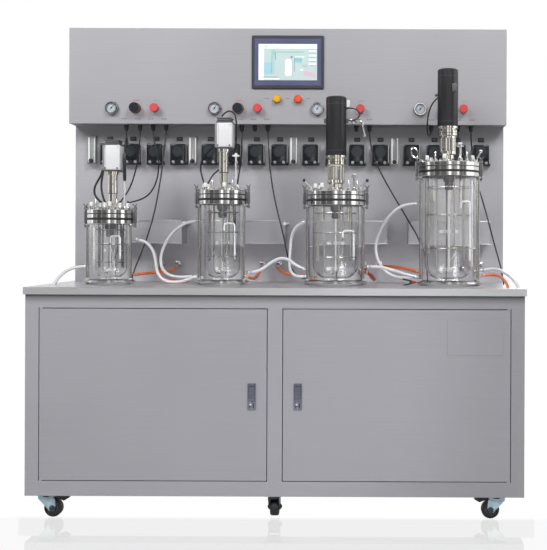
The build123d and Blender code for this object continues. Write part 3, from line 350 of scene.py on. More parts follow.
# %% Leads of the motors and probes
lead("lead_motor_1_outer", 0.150, (-.702, -.090, 1.286), (-.709, -.091, 1.258), (-.725, -.093, 1.232),
     (-.736, -.095, 1.204), (-.731, -.095, 1.176), (-.708, -.095, 1.153), diameter=0.008)
lead("lead_motor_1_inner", 0.137, (-.692, -.113, 1.286), (-.698, -.113, 1.255), (-.703, -.114, 1.221),
     (-.698, -.118, 1.186), (-.686, -.122, 1.153), diameter=0.008)
lead("lead_probe_1_front", 0.349, (-.674, .160, 1.461), (-.673, .150, 1.428), (-.664, .120, 1.403),
     (-.650, .076, 1.392), (-.636, .028, 1.394), (-.625, -.015, 1.403), (-.618, -.052, 1.414),
     (-.615, -.084, 1.407), (-.614, -.102, 1.379), (-.614, -.104, 1.348))
lead("lead_probe_1_left", 0.399, (-.617, .160, 1.461), (-.616, .150, 1.420), (-.613, .122, 1.378),
     (-.610, .088, 1.330), (-.609, .040, 1.276), (-.611, -.010, 1.228), (-.620, -.052, 1.188),
     (-.638, -.080, 1.153))
lead("lead_probe_1_right", 0.434, (-.563, .160, 1.461), (-.557, .154, 1.414), (-.541, .140, 1.372),
     (-.527, .108, 1.319), (-.522, .064, 1.262), (-.532, .020, 1.206), (-.562, -.030, 1.166),
     (-.608, -.075, 1.153))
lead("lead_heater_1", 0.648, (-.509, .160, 1.461), (-.511, .152, 1.415), (-.515, .142, 1.360),
     (-.518, .126, 1.300), (-.523, .098, 1.226), (-.531, .074, 1.150), (-.543, .050, 1.076),
     (-.560, .024, 1.004), (-.579, -.002, .938), (-.596, -.020, .890), (-.603, -.028, .850))
lead("lead_motor_2", 0.385, (-.240, -.090, 1.490), (-.228, -.089, 1.506), (-.210, -.087, 1.514),
     (-.193, -.086, 1.506), (-.185, -.085, 1.488), (-.183, -.083, 1.458), (-.184, -.078, 1.420),
     (-.187, -.066, 1.376), (-.200, -.050, 1.342), (-.224, -.044, 1.312), (-.256, -.052, 1.286),
     (-.283, -.076, 1.258), (-.292, -.088, 1.228), stiffness="limp")
lead("lead_probe_2_left", 0.361, (-.252, .160, 1.461), (-.270, .150, 1.428), (-.300, .122, 1.396),
     (-.328, .080, 1.362), (-.340, .030, 1.326), (-.334, -.022, 1.288), (-.320, -.062, 1.256),
     (-.310, -.075, 1.228))
lead("lead_probe_2_right", 0.326, (-.195, .160, 1.461), (-.193, .150, 1.422), (-.189, .122, 1.382),
     (-.186, .080, 1.342), (-.184, .032, 1.304), (-.182, -.018, 1.268), (-.182, -.060, 1.228))
lead("lead_heater_3", 0.702, (-.086, .160, 1.461), (-.083, .154, 1.410), (-.078, .142, 1.350),
     (-.070, .124, 1.282), (-.058, .102, 1.214), (-.042, .078, 1.146), (-.023, .056, 1.079),
     (-.005, .037, 1.012), (.009, .022, .948), (.025, .012, .898), (.048, .003, .866),
     (.080, -.003, .855), (.113, -.010, .853))
lead("lead_heater_4", 0.683, (.336, .160, 1.461), (.341, .154, 1.414), (.352, .144, 1.366),
     (.370, .126, 1.316), (.396, .104, 1.264), (.428, .086, 1.206), (.464, .066, 1.144),
     (.500, .044, 1.082), (.534, .024, 1.024), (.554, .010, .966), (.566, .004, .908),
     (.570, .005, .850))
lead("lead_motor_3", 0.125, (.247, -.090, 1.524), (.262, -.090, 1.5255), (.278, -.091, 1.523),
     (.293, -.092, 1.516), (.299, -.093, 1.501), (.293, -.092, 1.486), (.278, -.091, 1.479),
     (.262, -.090, 1.477), (.247, -.090, 1.477), diameter=0.005, stiffness="limp")
lead("lead_motor_4", 0.332, (.608, -.090, 1.572), (.590, -.088, 1.556), (.575, -.080, 1.532),
     (.567, -.060, 1.500), (.566, -.020, 1.470), (.569, .028, 1.448), (.576, .078, 1.438),
     (.586, .122, 1.444), (.5935, .160, 1.461))
lead("lead_probe_4", 0.271, (.7585, .160, 1.461), (.758, .148, 1.424), (.757, .114, 1.398),
     (.753, .066, 1.380), (.749, .016, 1.366), (.746, -.030, 1.354), (.745, -.060, 1.339))
lead("lead_heater_end", 0.680, (.7045, .160, 1.461), (.709, .154, 1.418), (.722, .140, 1.370),
     (.744, .116, 1.318), (.770, .092, 1.262), (.790, .072, 1.200), (.808, .056, 1.132),
     (.825, .043, 1.064), (.840, .024, .998), (.856, .008, .936), (.868, -.008, .882),
     (.874, -.020, .828))
# %% [markdown]
# White hoses carry warm water from jacket to jacket. Orange ones, and a red one, mostly join the
# jackets to the couplings on the wall. A hose is stiffer than a lead: it leaves its nipple straight
# and bends wide, so its route has a point wherever it changes direction.

# %% White jacket hoses
hose("hose_white_1_in", 0.158, hose_white, (-.769, -.090, .903), (-.800, -.090, .902),
     (-.832, -.097, .892), (-.856, -.112, .872), (-.870, -.132, .850), (-.876, -.146, .828))
hose("hose_white_1_to_2", 0.347, hose_white, (-.5765, -.0732, 1.010), (-.546, -.068, 1.005),
     (-.522, -.062, .984), (-.507, -.058, .952), (-.501, -.058, .914), (-.495, -.064, .880),
     (-.474, -.074, .854), (-.438, -.084, .843), (-.398, -.088, .845), (-.366, -.090, .856),
     (-.337, -.090, .864))
hose("hose_white_2_return", 0.494, hose_white, (-.3309, -.0551, 1.084), (-.362, -.044, 1.082),
     (-.400, -.022, 1.072), (-.440, .004, 1.046), (-.474, .022, 1.010), (-.496, .028, .968),
     (-.502, .022, .924), (-.488, .006, .886), (-.456, -.012, .866), (-.412, -.026, .860),
     (-.366, -.034, .864), (-.3251, -.0421, .866))
hose("hose_white_2_to_3", 0.248, hose_white, (-.133, -.090, .882), (-.106, -.088, .884),
     (-.076, -.080, .898), (-.046, -.070, .922), (-.012, -.062, .940), (.022, -.064, .934),
     (.052, -.074, .908), (.084, -.0836, .897))
hose("hose_white_3_return", 0.312, hose_white, (.0882, -.0582, 1.081), (.062, -.050, 1.074),
     (.040, -.036, 1.052), (.028, -.022, 1.020), (.024, -.015, .984), (.022, -.013, .946),
     (.0216, -.0136, .920), (.0215, -.015, .898), (.0272, -.0172, .8834), (.0377, -.0214, .8721),
     (.0514, -.027, .866), (.0735, -.0365, .8645), (.093, -.0439, .866))
hose("hose_white_4_return", 0.520, hose_white, (.5253, -.0571, 1.155), (.492, -.046, 1.154),
     (.456, -.026, 1.142), (.420, -.004, 1.112), (.390, .010, 1.072), (.370, .016, 1.026),
     (.362, .014, .980), (.370, .004, .934), (.394, -.012, .894), (.430, -.030, .868),
     (.474, -.048, .860), (.5248, -.0593, .866))
hose("hose_white_3_to_4", 0.197, hose_white, (.330, -.090, .906), (.366, -.092, .908),
     (.404, -.098, .902), (.442, -.102, .890), (.482, -.098, .876), (.5211, -.0944, .868))
hose("hose_white_4_out", 0.322, hose_white, (.7743, -.0767, .894), (.802, -.077, .899),
     (.826, -.096, .901), (.844, -.132, .897), (.857, -.184, .886), (.868, -.230, .876),
     (.877, -.276, .862), (.884, -.316, .844), (.887, -.338, .824))

# %% Orange return hoses
hose("hose_orange_1", 0.253, hose_orange, (-.5935, -.033, .872), (-.566, -.012, .874),
     (-.536, .018, .876), (-.506, .058, .878), (-.482, .104, .880), (-.468, .146, .888),
     (-.466, .172, .902))
hose("hose_orange_2", 0.241, hose_orange, (-.532, .172, .902), (-.532, .146, .884),
     (-.524, .112, .864), (-.500, .076, .848), (-.462, .052, .843), (-.420, .036, .845),
     (-.386, .030, .846))
hose("hose_orange_3", 0.225, hose_orange, (-.1095, .172, .902), (-.112, .146, .886),
     (-.116, .104, .870), (-.122, .060, .858), (-.128, .016, .854), (-.138, -.018, .860),
     (-.1467, -.039, .866))
hose("hose_orange_4", 0.251, hose_orange, (-.0435, .172, .902), (-.038, .146, .888),
     (-.016, .112, .876), (.022, .076, .868), (.064, .038, .864), (.096, .010, .866),
     (.1128, -.0109, .868))
hose("hose_orange_5", 0.251, hose_red, (.3175, -.0361, .884), (.340, -.022, .878),
     (.355, .006, .862), (.360, .044, .850), (.352, .088, .852), (.336, .132, .872),
     (.313, .172, .902))
hose("hose_orange_6", 0.256, hose_orange, (.379, .172, .902), (.396, .146, .904),
     (.428, .106, .904), (.466, .060, .900), (.504, .012, .892), (.538, -.0265, .884))
hose("hose_orange_7", 0.258, hose_orange, (.7745, -.1011, .874), (.800, -.104, .8775),
     (.820, -.118, .8785), (.832, -.142, .877), (.839, -.172, .873), (.844, -.208, .867),
     (.848, -.244, .859), (.851, -.280, .845), (.853, -.312, .824))

# %% [markdown]
# The cabinet is brushed sheet. Its grain is noise stretched along the length of the sheet, with a slow
# cloud over it for the faint unevenness of rolled steel. The doors are the same sheet, slightly darker.
# Where a sheet is tucked under an overhang or far from the lamps, shade is painted into it: its tint is
# scaled along its height or its width, because that leaves no seam where it grows darker.

# %% Sheet finishes
DOOR_TINT, DOOR_GRAIN = (0.375, 0.37, 0.40), (3, 60, 300)


def shade(material, low, high, above, axis="Z"):
    """Paints shade into a finish: scales its colour past a height or a width. A factor above one paints light
    back in.
    """
    base = shader(material).inputs["Base Color"]
    colour = base.links[0].from_socket
    place = node(material, "TexCoord")
    height = node(material, "SeparateXYZ")
    fall = node(material, "MapRange", From_Min=low, From_Max=high, To_Min=1.0, To_Max=above)
    fall.interpolation_type = "SMOOTHSTEP"
    scaled = node(material, "VectorMath")
    scaled.operation = "SCALE"
    link(material, place.outputs["Object"], height.inputs[0])
    link(material, height.outputs[axis], fall.inputs["Value"])
    link(material, colour, scaled.inputs[0])
    link(material, fall.outputs["Result"], scaled.inputs["Scale"])
    link(material, scaled.outputs["Vector"], base)


cabinet_sheet = brushed("cabinet_sheet", (0.44, 0.435, 0.47))
body_sheet = brushed("body_sheet", (0.385, 0.38, 0.41))
# painted shade: the body darkens under the worktop's edge and towards its right end
shade(body_sheet, .772, .812, .30)  # under the worktop's edge
shade(body_sheet, .10, .88, .76, "X")  # towards its right end
door_sheet = brushed("door_sheet", DOOR_TINT, scale=DOOR_GRAIN)
# the right door's own copy of the sheet, which carries painted shade towards its right end
right_door_shaded_sheet = brushed("right_door_shaded_sheet", DOOR_TINT, scale=DOOR_GRAIN)
shade(right_door_shaded_sheet, .40, .86, .83, "X")  # towards its right end
upper_sheet = brushed("upper_sheet", (0.475, 0.47, 0.50))
# painted shade of the header on the top of the wall, then painted light that lifts the header itself
shade(upper_sheet, 1.400, 1.470, .62)  # the top of the wall, under the header
shade(upper_sheet, 1.4865, 1.4885, 1.34)  # the header, which stands in the light again
worktop_sheet = brushed("worktop_sheet", (0.55, 0.55, 0.57), 0.28, (3, 240, 60), metallic=0.5)

# %% [markdown]
# Most fittings here are turned or milled metal. A turned piece is an outline spun about an axis, and
# a milled one is a cube whose edges are bevelled. Building each solid in a bmesh of its own keeps its
# normals simple. The helpers below make such solids, set them in place and add them to one mesh, so
# that a row of bolts is a single piece.

# %% Helpers that place a solid
def at(x, y, z):
    return Matrix.Translation((x, y, z))


def turn(angle, axis):
    return Matrix.Rotation(radians(angle), 4, axis)


def facing(x, y, z):
    """Places a solid made along +Z so that it points out of the front."""
    return at(x, y, z) @ turn(90, "X")


def pointing(way):
    """Turns a solid made along +Z to another direction."""
    return way.to_track_quat("Z", "Y").to_matrix().to_4x4()


def around(x, y, radius, angle, z=0.0):
    """A point on a circle about an upright line through x and y."""
    return x + radius * cos(radians(angle)), y + radius * sin(radians(angle)), z


# %% Helpers that make a solid
def turned(*outline, steps=40):
    """Spins an outline of (radius, height) points about Z. A ring's outline ends where it began."""
    part = bmesh.new()
    corners = [part.verts.new((radius, 0, height)) for radius, height in outline]
    edges = [part.edges.new(pair) for pair in zip(corners, corners[1:])]
    bmesh.ops.spin(part, geom=corners + edges, cent=(0, 0, 0), axis=(0, 0, 1), angle=radians(360),
                   steps=steps, use_merge=True)
    return part


def ring(inner, outer, low, high, edge=0.001, steps=56):
    """A washer with softened outer edges."""
    return turned((inner, low), (outer - edge, low), (outer, low + edge), (outer, high - edge),
                  (outer - edge, high), (inner, high), (inner, low), steps=steps)


def disc(radius, low, high, edge=0.0006, steps=24):
    """A round plate or pin with softened edges."""
    return turned((0, low), (radius - edge, low), (radius, low + edge), (radius, high - edge),
                  (radius - edge, high), (0, high), steps=steps)


def soften(part, offset, segments):
    bmesh.ops.bevel(part, geom=part.edges[:], offset=offset, offset_type="OFFSET", segments=segments,
                    profile=0.5, affect="EDGES", material=-1)


def block(low, high, bevel=0.0, segments=2):
    """A cuboid between two corners, with bevelled edges."""
    part = bmesh.new()
    bmesh.ops.create_cube(part, size=1)
    bmesh.ops.scale(part, vec=[b - a for a, b in zip(low, high)], verts=part.verts)
    bmesh.ops.translate(part, vec=[(a + b) / 2 for a, b in zip(low, high)], verts=part.verts)
    if bevel:
        soften(part, bevel, segments)
    return part


def rod(start, end, radius, sides=14, tip=None):
    """A round bar between two points, or a tapered one."""
    part = bmesh.new()
    start, end = Vector(start), Vector(end)
    bmesh.ops.create_cone(part, cap_ends=True, segments=sides, radius1=radius,
                          radius2=radius if tip is None else tip, depth=(end - start).length)
    bmesh.ops.transform(part, matrix=Matrix.Translation((start + end) / 2) @ pointing(end - start),
                        verts=part.verts)
    return part


def post(x, y, reach, angle, low, high, radius, sides=14):
    """An upright bar that stands on a circle about x and y."""
    return rod(around(x, y, reach, angle, low), around(x, y, reach, angle, high), radius, sides)


def hexagon(radius, low, high):
    """A nut or a bolt's head."""
    part = bmesh.new()
    bmesh.ops.create_cone(part, cap_ends=True, segments=6, radius1=radius, radius2=radius,
                          depth=high - low)
    bmesh.ops.translate(part, vec=(0, 0, (low + high) / 2), verts=part.verts)
    soften(part, radius * 0.08, 1)
    return part


def tube(points, radius, kind="NURBS"):
    """A bent tube: the mesh of a round curve through its points."""
    curve = round_curve("bent", points, radius, 6, kind)
    holder = bpy.data.objects.new("bent", curve)
    made = bpy.data.meshes.new_from_object(holder)
    part = bmesh.new()
    part.from_mesh(made)
    bpy.data.batch_remove([holder, curve, made])
    return part


# %% Gathering solids into a piece
scratch = bpy.data.meshes.new("scratch")


class Piece:
    """A mesh that is gathered solid by solid, then given its finish and its body. Its slot is kept but not
    used.
    """

    def __init__(self, name, material, slot, stands_for=None, body="station"):
        self.mesh, self.name, self.material = bmesh.new(), name, material
        self.slot, self.stands_for, self.body = slot, stands_for, body

    def add(self, part, place=None):
        bmesh.ops.remove_doubles(part, verts=part.verts, dist=1e-6)
        bmesh.ops.recalc_face_normals(part, faces=part.faces)
        if place is not None:
            bmesh.ops.transform(part, matrix=place, verts=part.verts)
        part.to_mesh(scratch)
        part.free()
        self.mesh.from_mesh(scratch)

    def done(self, angle=34):
        """Smooths all but the sharp edges, and hands the piece to the frame."""
        for face in self.mesh.faces:
            face.smooth = True
        for edge in self.mesh.edges:
            edge.smooth = len(edge.link_faces) == 2 and edge.calc_face_angle(0) < radians(angle)
        mesh = bpy.data.meshes.new(self.name)
        self.mesh.to_mesh(mesh)
        self.mesh.free()
        mesh.materials.append(self.material)
        piece = bpy.data.objects.new(self.name, mesh)
        scene.collection.objects.link(piece)
        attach(piece, self.body)
        if self.stands_for:
            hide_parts(self.stands_for)
        print(self.name, len(mesh.polygons), "faces")
        return piece


def done(*pieces):
    for piece in pieces:
        piece.done()


# %% [markdown]
# Polished steel has no colour of its own to speak of: it shows the room. In an even room a turned
# column would look like paper, so a ring of tall cards stands far out in front, some dark and some
# bright, where only reflections find them. They draw the upright streaks that make a turned part
# read as metal: broad dark ones left of its middle and bright ones in the middle and at the right.

# %% Cards for reflections
CARD_DISTANCE, CARD_FOOT, CARD_TOP, CARD_STEP = 8.0, -1.2, 4.2, 4
# each card's first and last bearing in degrees, from straight ahead to the right, and its brightness
CARDS = ((-92, -82, 1.7), (-77, -61, 0.24), (-61, -56, 0.5), (-56, -36, 0.10), (-36, -32, 0.4),
         (-32, -9, 0.15), (-1, 8, 1.8), (13, 18, 0.25), (30, 37, 1.5), (41, 50, 0.14), (50, 54, 0.45),
         (54, 62, 0.16), (66, 100, 1.9))


def card(name, columns, brightness):
    """A strip of card between columns of two corners each. Only reflections can see it."""
    part = bmesh.new()
    made = [[part.verts.new(corner) for corner in column] for column in columns]
    for a, b in zip(made, made[1:]):
        part.faces.new((a[0], b[0], b[1], a[1]))
    mesh = bpy.data.meshes.new(name)
    part.to_mesh(mesh)
    part.free()
    material = bpy.data.materials.new(name)
    material.use_nodes = True
    material.node_tree.nodes.clear()
    glow = node(material, "Emission", Strength=brightness)
    link(material, glow.outputs[0], node(material, "OutputMaterial").inputs["Surface"])
    mesh.materials.append(material)
    sheet = bpy.data.objects.new(name, mesh)
    scene.collection.objects.link(sheet)
    sheet.visible_camera = sheet.visible_diffuse = False
    sheet.visible_shadow = sheet.visible_transmission = False


for k, (start, end, brightness) in enumerate(CARDS):
    steps = max(2, int((end - start) / CARD_STEP))
    bearings = [radians(start + (end - start) * n / steps) for n in range(steps + 1)]
    card(f"card_{k + 1}", [[(CARD_DISTANCE * sin(a), -CARD_DISTANCE * cos(a), z)
                            for z in (CARD_FOOT, CARD_TOP)] for a in bearings], brightness)
print("cards", len(CARDS))

# %% [markdown]
# The floor in front would mirror the dark space under the cabinet. A low pale card behind the front
# casters, seen only by reflections, keeps the floor nearly white there, with just the casters in it.

# %% Card behind the casters
card("caster_card", [[(x, -.302, z) for z in (.001, .084)] for x in (-.95, .95)], 0.62)

# %% [markdown]
# The finishes that follow are for the fittings: warm polished steel on the drive columns, black
# anodised motor tubes, white enamel boxes, smoked pump covers and clear glass. Clear glass needs
# real walls and a plain refracting shader, and dust or smears would only cloud it.

# %% Finishes of the fittings
polished = plain_metal("polished_steel", (0.66, 0.655, 0.65), 0.1, 200, 0.05)
warm_steel = plain_metal("warm_steel", (0.72, 0.69, 0.63), 0.12, 160, 0.05)
wet_steel = plain_metal("wet_steel", (0.40, 0.39, 0.37), 0.2, 120, 0.1)
# a darker copy of the inner steel, as painted shade for the cages in the two small jars
shaded_steel = plain_metal("shaded_steel", (0.13, 0.135, 0.135), 0.25, 120, 0.2)
rod_steel = plain_metal("rod_steel", (0.36, 0.35, 0.33), 0.14, 160, 0.05)
satin = plain_metal("satin_steel", (0.52, 0.52, 0.53), 0.28)
slate_steel = moulded("slate_steel", (0.010, 0.016, 0.019), 0.4, 200, 0.15)
clamp_steel = moulded("clamp_steel", (0.19, 0.19, 0.20), 0.32, 90, 0.25)
clamp_bolts = plain_metal("clamp_bolts", (0.20, 0.20, 0.20), 0.3, 90, 0.15)
dark_steel = plain_metal("dark_steel", (0.12, 0.12, 0.13), 0.3)
zinc = plain_metal("zinc_plate", (0.42, 0.55, 0.61), 0.34, 60, 0.2, metallic=0.6)
dark_zinc = plain_metal("dark_zinc", (0.045, 0.065, 0.085), 0.34, 60, 0.2, metallic=0.6)
gasket_black = moulded("gasket_black", (0.012, 0.012, 0.012), 0.5)
anodised = moulded("anodised_black", (0.014, 0.014, 0.017), 0.33, 260)
enamel_white = moulded("enamel_white", (0.8, 0.8, 0.82), 0.35, 300, 0.03)
enamel_grey = moulded("enamel_grey", (0.28, 0.28, 0.30), 0.4, 300, 0.05)
cap_grey = moulded("cap_grey", (0.09, 0.09, 0.1), 0.45, 300)
port_white = moulded("port_white", (0.88, 0.88, 0.87), 0.4, 260, 0.04)
tube_white = moulded("tube_white", (0.62, 0.63, 0.65), 0.3, 260, 0.03)
cap_white = moulded("cap_white", (0.93, 0.93, 0.95), 0.35, 260, 0.03)
clamp_grey = moulded("clamp_grey", (0.42, 0.43, 0.45), 0.4, 260, 0.08)
navy_plastic = moulded("navy_plastic", (0.016, 0.019, 0.028), 0.3, 260, 0.15)
smoked = moulded("smoked_cover", (0.012, 0.016, 0.02), 0.12, 40, 0.3)
rotor_grey = moulded("rotor_grey", (0.022, 0.027, 0.034), 0.35, 260, 0.2)
pump_back = moulded("pump_back", (0.34, 0.35, 0.37), 0.4, 260, 0.06)
clear_plastic = finish("clear_acrylic", (0.93, 0.94, 0.96), 0.12, Transmission_Weight=0.72, IOR=1.12)
borosilicate = finish("borosilicate", (1.0, 1.0, 1.0), 0.0, Transmission_Weight=1.0, IOR=1.42)
dial_white = moulded("dial_white", (0.56, 0.6, 0.66), 0.3, 300, 0.05)
mark_black = moulded("mark_black", (0.02, 0.02, 0.025), 0.5)
mark_grey = moulded("mark_grey", (0.16, 0.16, 0.18), 0.5)
knob_black = moulded("knob_black", (0.010, 0.011, 0.02), 0.3)
knob_brown = moulded("knob_brown", (0.085, 0.016, 0.012), 0.35)
knob_red = moulded("knob_red", (0.72, 0.075, 0.08), 0.33)
button_yellow = moulded("button_yellow", (0.95, 0.5, 0.01), 0.28)
button_red = moulded("button_red", (0.93, 0.1, 0.03), 0.28)
lock_grey = moulded("lock_grey", (0.105, 0.11, 0.14), 0.35, 300, 0.1)
lock_plate = moulded("lock_plate", (0.175, 0.18, 0.23), 0.35, 300, 0.1)
hub_black = moulded("hub_black", (0.022, 0.022, 0.025), 0.45, 300)
bezel_slate = moulded("bezel_slate", (0.036, 0.038, 0.045), 0.4, 300, 0.12)
frame_blue = moulded("frame_blue", (0.09, 0.1, 0.2), 0.35, 300, 0.12)

# %% [markdown]
# Each vessel is clamped from three plates: the ring that the stand carries, the vessel's own ring
# and the lid, with black gaskets between them. All are spun from outlines with softened edges, since
# a sharp edge would catch no light. The sizes grow from the left vessel to the right one.

# %% Vessel rings, lids and gaskets
PITCH = .4225  # from one station to the next
VESSEL_Y = -0.090
# middle x, ring radius, glass top, motor foot, motor top, lower and upper column radius
VESSELS = ((-.672, .088, 1.069, 1.274, 1.375, .016, .019), (-.235, .093, 1.146, 1.364, 1.463, .015, .0185),
           (.207, .114, 1.144, 1.339, 1.569, .027, .033), (.648, .118, 1.257, 1.454, 1.678, .025, .0305))
SMALL_COLUMN = .02  # an upper column radius below this has the slim column and the boxed motor
# heights above the top of the glass
RING_FOOT, RING_TOP, LID_FOOT, LID_TOP, COLUMN_FOOT = .0225, .038, .0400, .055, .0563
rings = Piece("vessel_rings", polished, "bright_steel", "vessel_heads")
gaskets = Piece("vessel_gaskets", gasket_black, "gland_plastic", "vessel_heads")
bolts = Piece("lid_bolts", satin, "bright_steel", "vessel_heads")
for x, r, top, _, _, lower, _ in VESSELS:
    here = at(x, VESSEL_Y, 0)
    rings.add(ring(r - .011, r, top + RING_FOOT, top + RING_TOP), here)
    rings.add(ring(.006, r + .0005, top + LID_FOOT, top + LID_TOP, .0015), here)
    gaskets.add(ring(r - .010, r + .001, top + .0165, top + RING_FOOT), here)
    gaskets.add(ring(r - .010, r - .0005, top + RING_TOP, top + LID_FOOT, .0004), here)
    gaskets.add(ring(.007, lower + .010, top + LID_TOP, top + COLUMN_FOOT, .0003), here)
    for angle in range(22, 382, 45):
        spot = at(*around(x, VESSEL_Y, r - .009, angle, top + LID_TOP))
        bolts.add(hexagon(.0055, 0, .004), spot)
        bolts.add(disc(.0028, .004, .0085, steps=12), spot)
done(rings, gaskets, bolts)

# %% [markdown]
# The stand is a ring on three feet with three rods up to the clamped joint. It is welded and
# polished, so it shows no bolts except a nut at each end of a rod.

# %% Stands
RODS = (90, 195, 345)  # bearings of the three rods, in degrees
stands = Piece("stands", polished, "bright_steel", "jar_stands")
tie_rods = Piece("tie_rods", rod_steel, "bright_steel", "jar_stands")
feet = Piece("stand_feet", satin, "bright_steel", "jar_stands")
for x, r, top, *_ in VESSELS:
    here = at(x, VESSEL_Y, 0)
    stands.add(ring(r - .034, r + .010, .843, .850, .002), here)
    stands.add(ring(r - .0095, r, top, top + .0165, .0015), here)
    stands.add(ring(r - .030, r + .003, .8502, .8535, .001), here)
    for angle in RODS:
        spot = at(*around(x, VESSEL_Y, r - .001, angle))
        tie_rods.add(disc(.0036, .850, top + .003, steps=20), spot)
        feet.add(hexagon(.0085, .8535, .859), spot)
        feet.add(hexagon(.0075, top - .006, top - .0005), spot)
        feet.add(turned((0, .836), (.0095, .836), (.0095, .838), (.007, .840), (.007, .843), (0, .843)),
                 at(*around(x, VESSEL_Y, r, angle)))
done(stands, tie_rods, feet)

# %% [markdown]
# The jar is blown in one piece: a round-bottomed vessel inside a jacket. Each wall's section is one
# closed outline that runs up one side and down the other. Spinning it gives the wall its real
# thickness, and the refraction at its edges follows from that. Nipples stand out where hoses go on.

# %% Glass jars
JAR_FLOOR, JAR_WALL = .868, .0033
# each vessel's nipples: their bearing in degrees and their height
NIPPLES = (((180, .903), (10, 1.010), (36, .872)),
           ((160, 1.084), (180, .864), (152, .866), (0, .882), (30, .866)),
           ((165, 1.081), (177, .897), (158, .866), (0, .906), (26, .884), (140, .868)),
           ((165, 1.155), (182, .868), (166, .866), (150, .884), (6, .894), (355, .874)))
glass = Piece("glass_jackets", borosilicate, "borosilicate", "glass_jars")
for (x, r, top, *_), nipples in zip(VESSELS, NIPPLES):
    here = at(x, VESSEL_Y, 0)
    outer, inner, rim = r - .006, r - .027, top + .022
    bowl = .62 * inner
    bend = [(sin(radians(a)), cos(radians(a))) for a in range(0, 91, 10)]
    inner_side = [(inner - bowl + bowl * s, JAR_FLOOR + bowl - bowl * c) for s, c in bend]
    outer_side = [(px + JAR_WALL * s, pz - JAR_WALL * c) for (px, pz), (s, c) in zip(inner_side, bend)]
    glass.add(turned((0, JAR_FLOOR), *inner_side, (inner, rim), (inner + .0035, rim),
                     (inner + .0035, JAR_FLOOR + bowl), *reversed(outer_side), (0, JAR_FLOOR - JAR_WALL),
                     steps=72), here)
    glass.add(turned((outer - .0030, rim - .002), (outer, rim - .002), (outer, .858), (outer - .004, .854),
                     (0, .854), (0, .857), (outer - .005, .857), (outer - .0030, .860),
                     (outer - .0030, rim - .002), steps=72), here)
    for angle, z in nipples:
        glass.add(turned((.0042, -.001), (.006, -.001), (.006, .018), (.0068, .019), (.0062, .021),
                         (.0042, .021), (.0042, -.001), steps=20),
                  at(*around(x, VESSEL_Y, outer, angle, z)) @ turn(angle, "Z") @ turn(90, "Y"))
glass.done(50).visible_shadow = False  # lamps shine through the jackets onto what is inside

# %% [markdown]
# The drive: on the two small vessels a slim two-part column carries a boxed motor, and on the large
# ones a stout hub, an open lantern and an adapter carry a long black motor. The slots of the lantern
# are made as bars between two flanges, which is simpler than cutting them, and the coupling shows
# between them. All but the third stand a few millimetres off the middle of their lid.

# %% Drive columns
DRIVE_SHIFT = (.009, .004, 0, -.006)  # how far right of its vessel each drive stands
columns = Piece("drive_columns", warm_steel, "bright_steel", "vessel_heads")
screws = Piece("column_screws", dark_steel, "bright_steel", "vessel_heads")
for (x, _, top, foot, _, lower, upper), shift in zip(VESSELS, DRIVE_SHIFT):
    x += shift
    here, z = at(x, VESSEL_Y, 0), top + COLUMN_FOOT
    if upper < SMALL_COLUMN:
        step = z + .42 * (foot - z)
        columns.add(turned((.006, z), (lower + .008, z), (lower + .008, z + .004), (lower + .006, z + .006),
                           (lower, z + .008), (lower, step), (upper, step + .002), (upper, foot - .013),
                           (upper + .005, foot - .012), (upper + .005, foot), (.006, foot), (.006, z),
                           steps=48), here)
        screws.add(ring(lower, upper + .0004, step - .0006, step + .0006, .0002), here)
        for dx, dz in ((.006, -.030), (-.007, -.055), (.003, .018)):
            screws.add(disc(.0027, 0, .003, steps=12),
                       facing(x + dx, VESSEL_Y - upper + .0012, foot + dz - .02))
        continue
    low, high = z + .037, foot - .039
    columns.add(turned((.006, z), (lower + .008, z), (lower + .008, z + .007), (lower + .006, z + .009),
                       (lower, z + .011), (lower, z + .028), (upper + .002, low - .004),
                       (upper + .002, low + .006), (.014, low + .006), (.006, low), (.006, z),
                       steps=56), here)
    columns.add(turned((.014, high - .006), (upper + .001, high - .006), (upper + .001, high),
                       (.035, high + .002), (.037, high + .004), (.037, foot - .014), (.034, foot - .012),
                       (.034, foot - .009), (.0395, foot - .007), (.0395, foot), (.014, foot),
                       (.014, high - .006), steps=56), here)
    for angle in range(10, 370, 60):
        columns.add(post(x, VESSEL_Y, upper - .005, angle, low + .004, high - .004, .0058, 18))
    for angle in range(45, 405, 90):
        screws.add(post(x, VESSEL_Y, .0355, angle, foot - .020, foot - .0125, .0032))
        screws.add(post(x, VESSEL_Y, lower + .002, angle, z + .009, z + .0145, .0036))
    screws.add(ring(.0372, .0378, high + .012, high + .014, .0002), here)
done(columns, screws)

# %% [markdown]
# A small motor is a white box with a grey left side, under three stacked plates. A large one is a
# black tube with two fine bands, screws in its top and lugs at its side. The boxes are bevelled
# blocks, and a grey block that stands out a little to the left of a white one shows as its side.

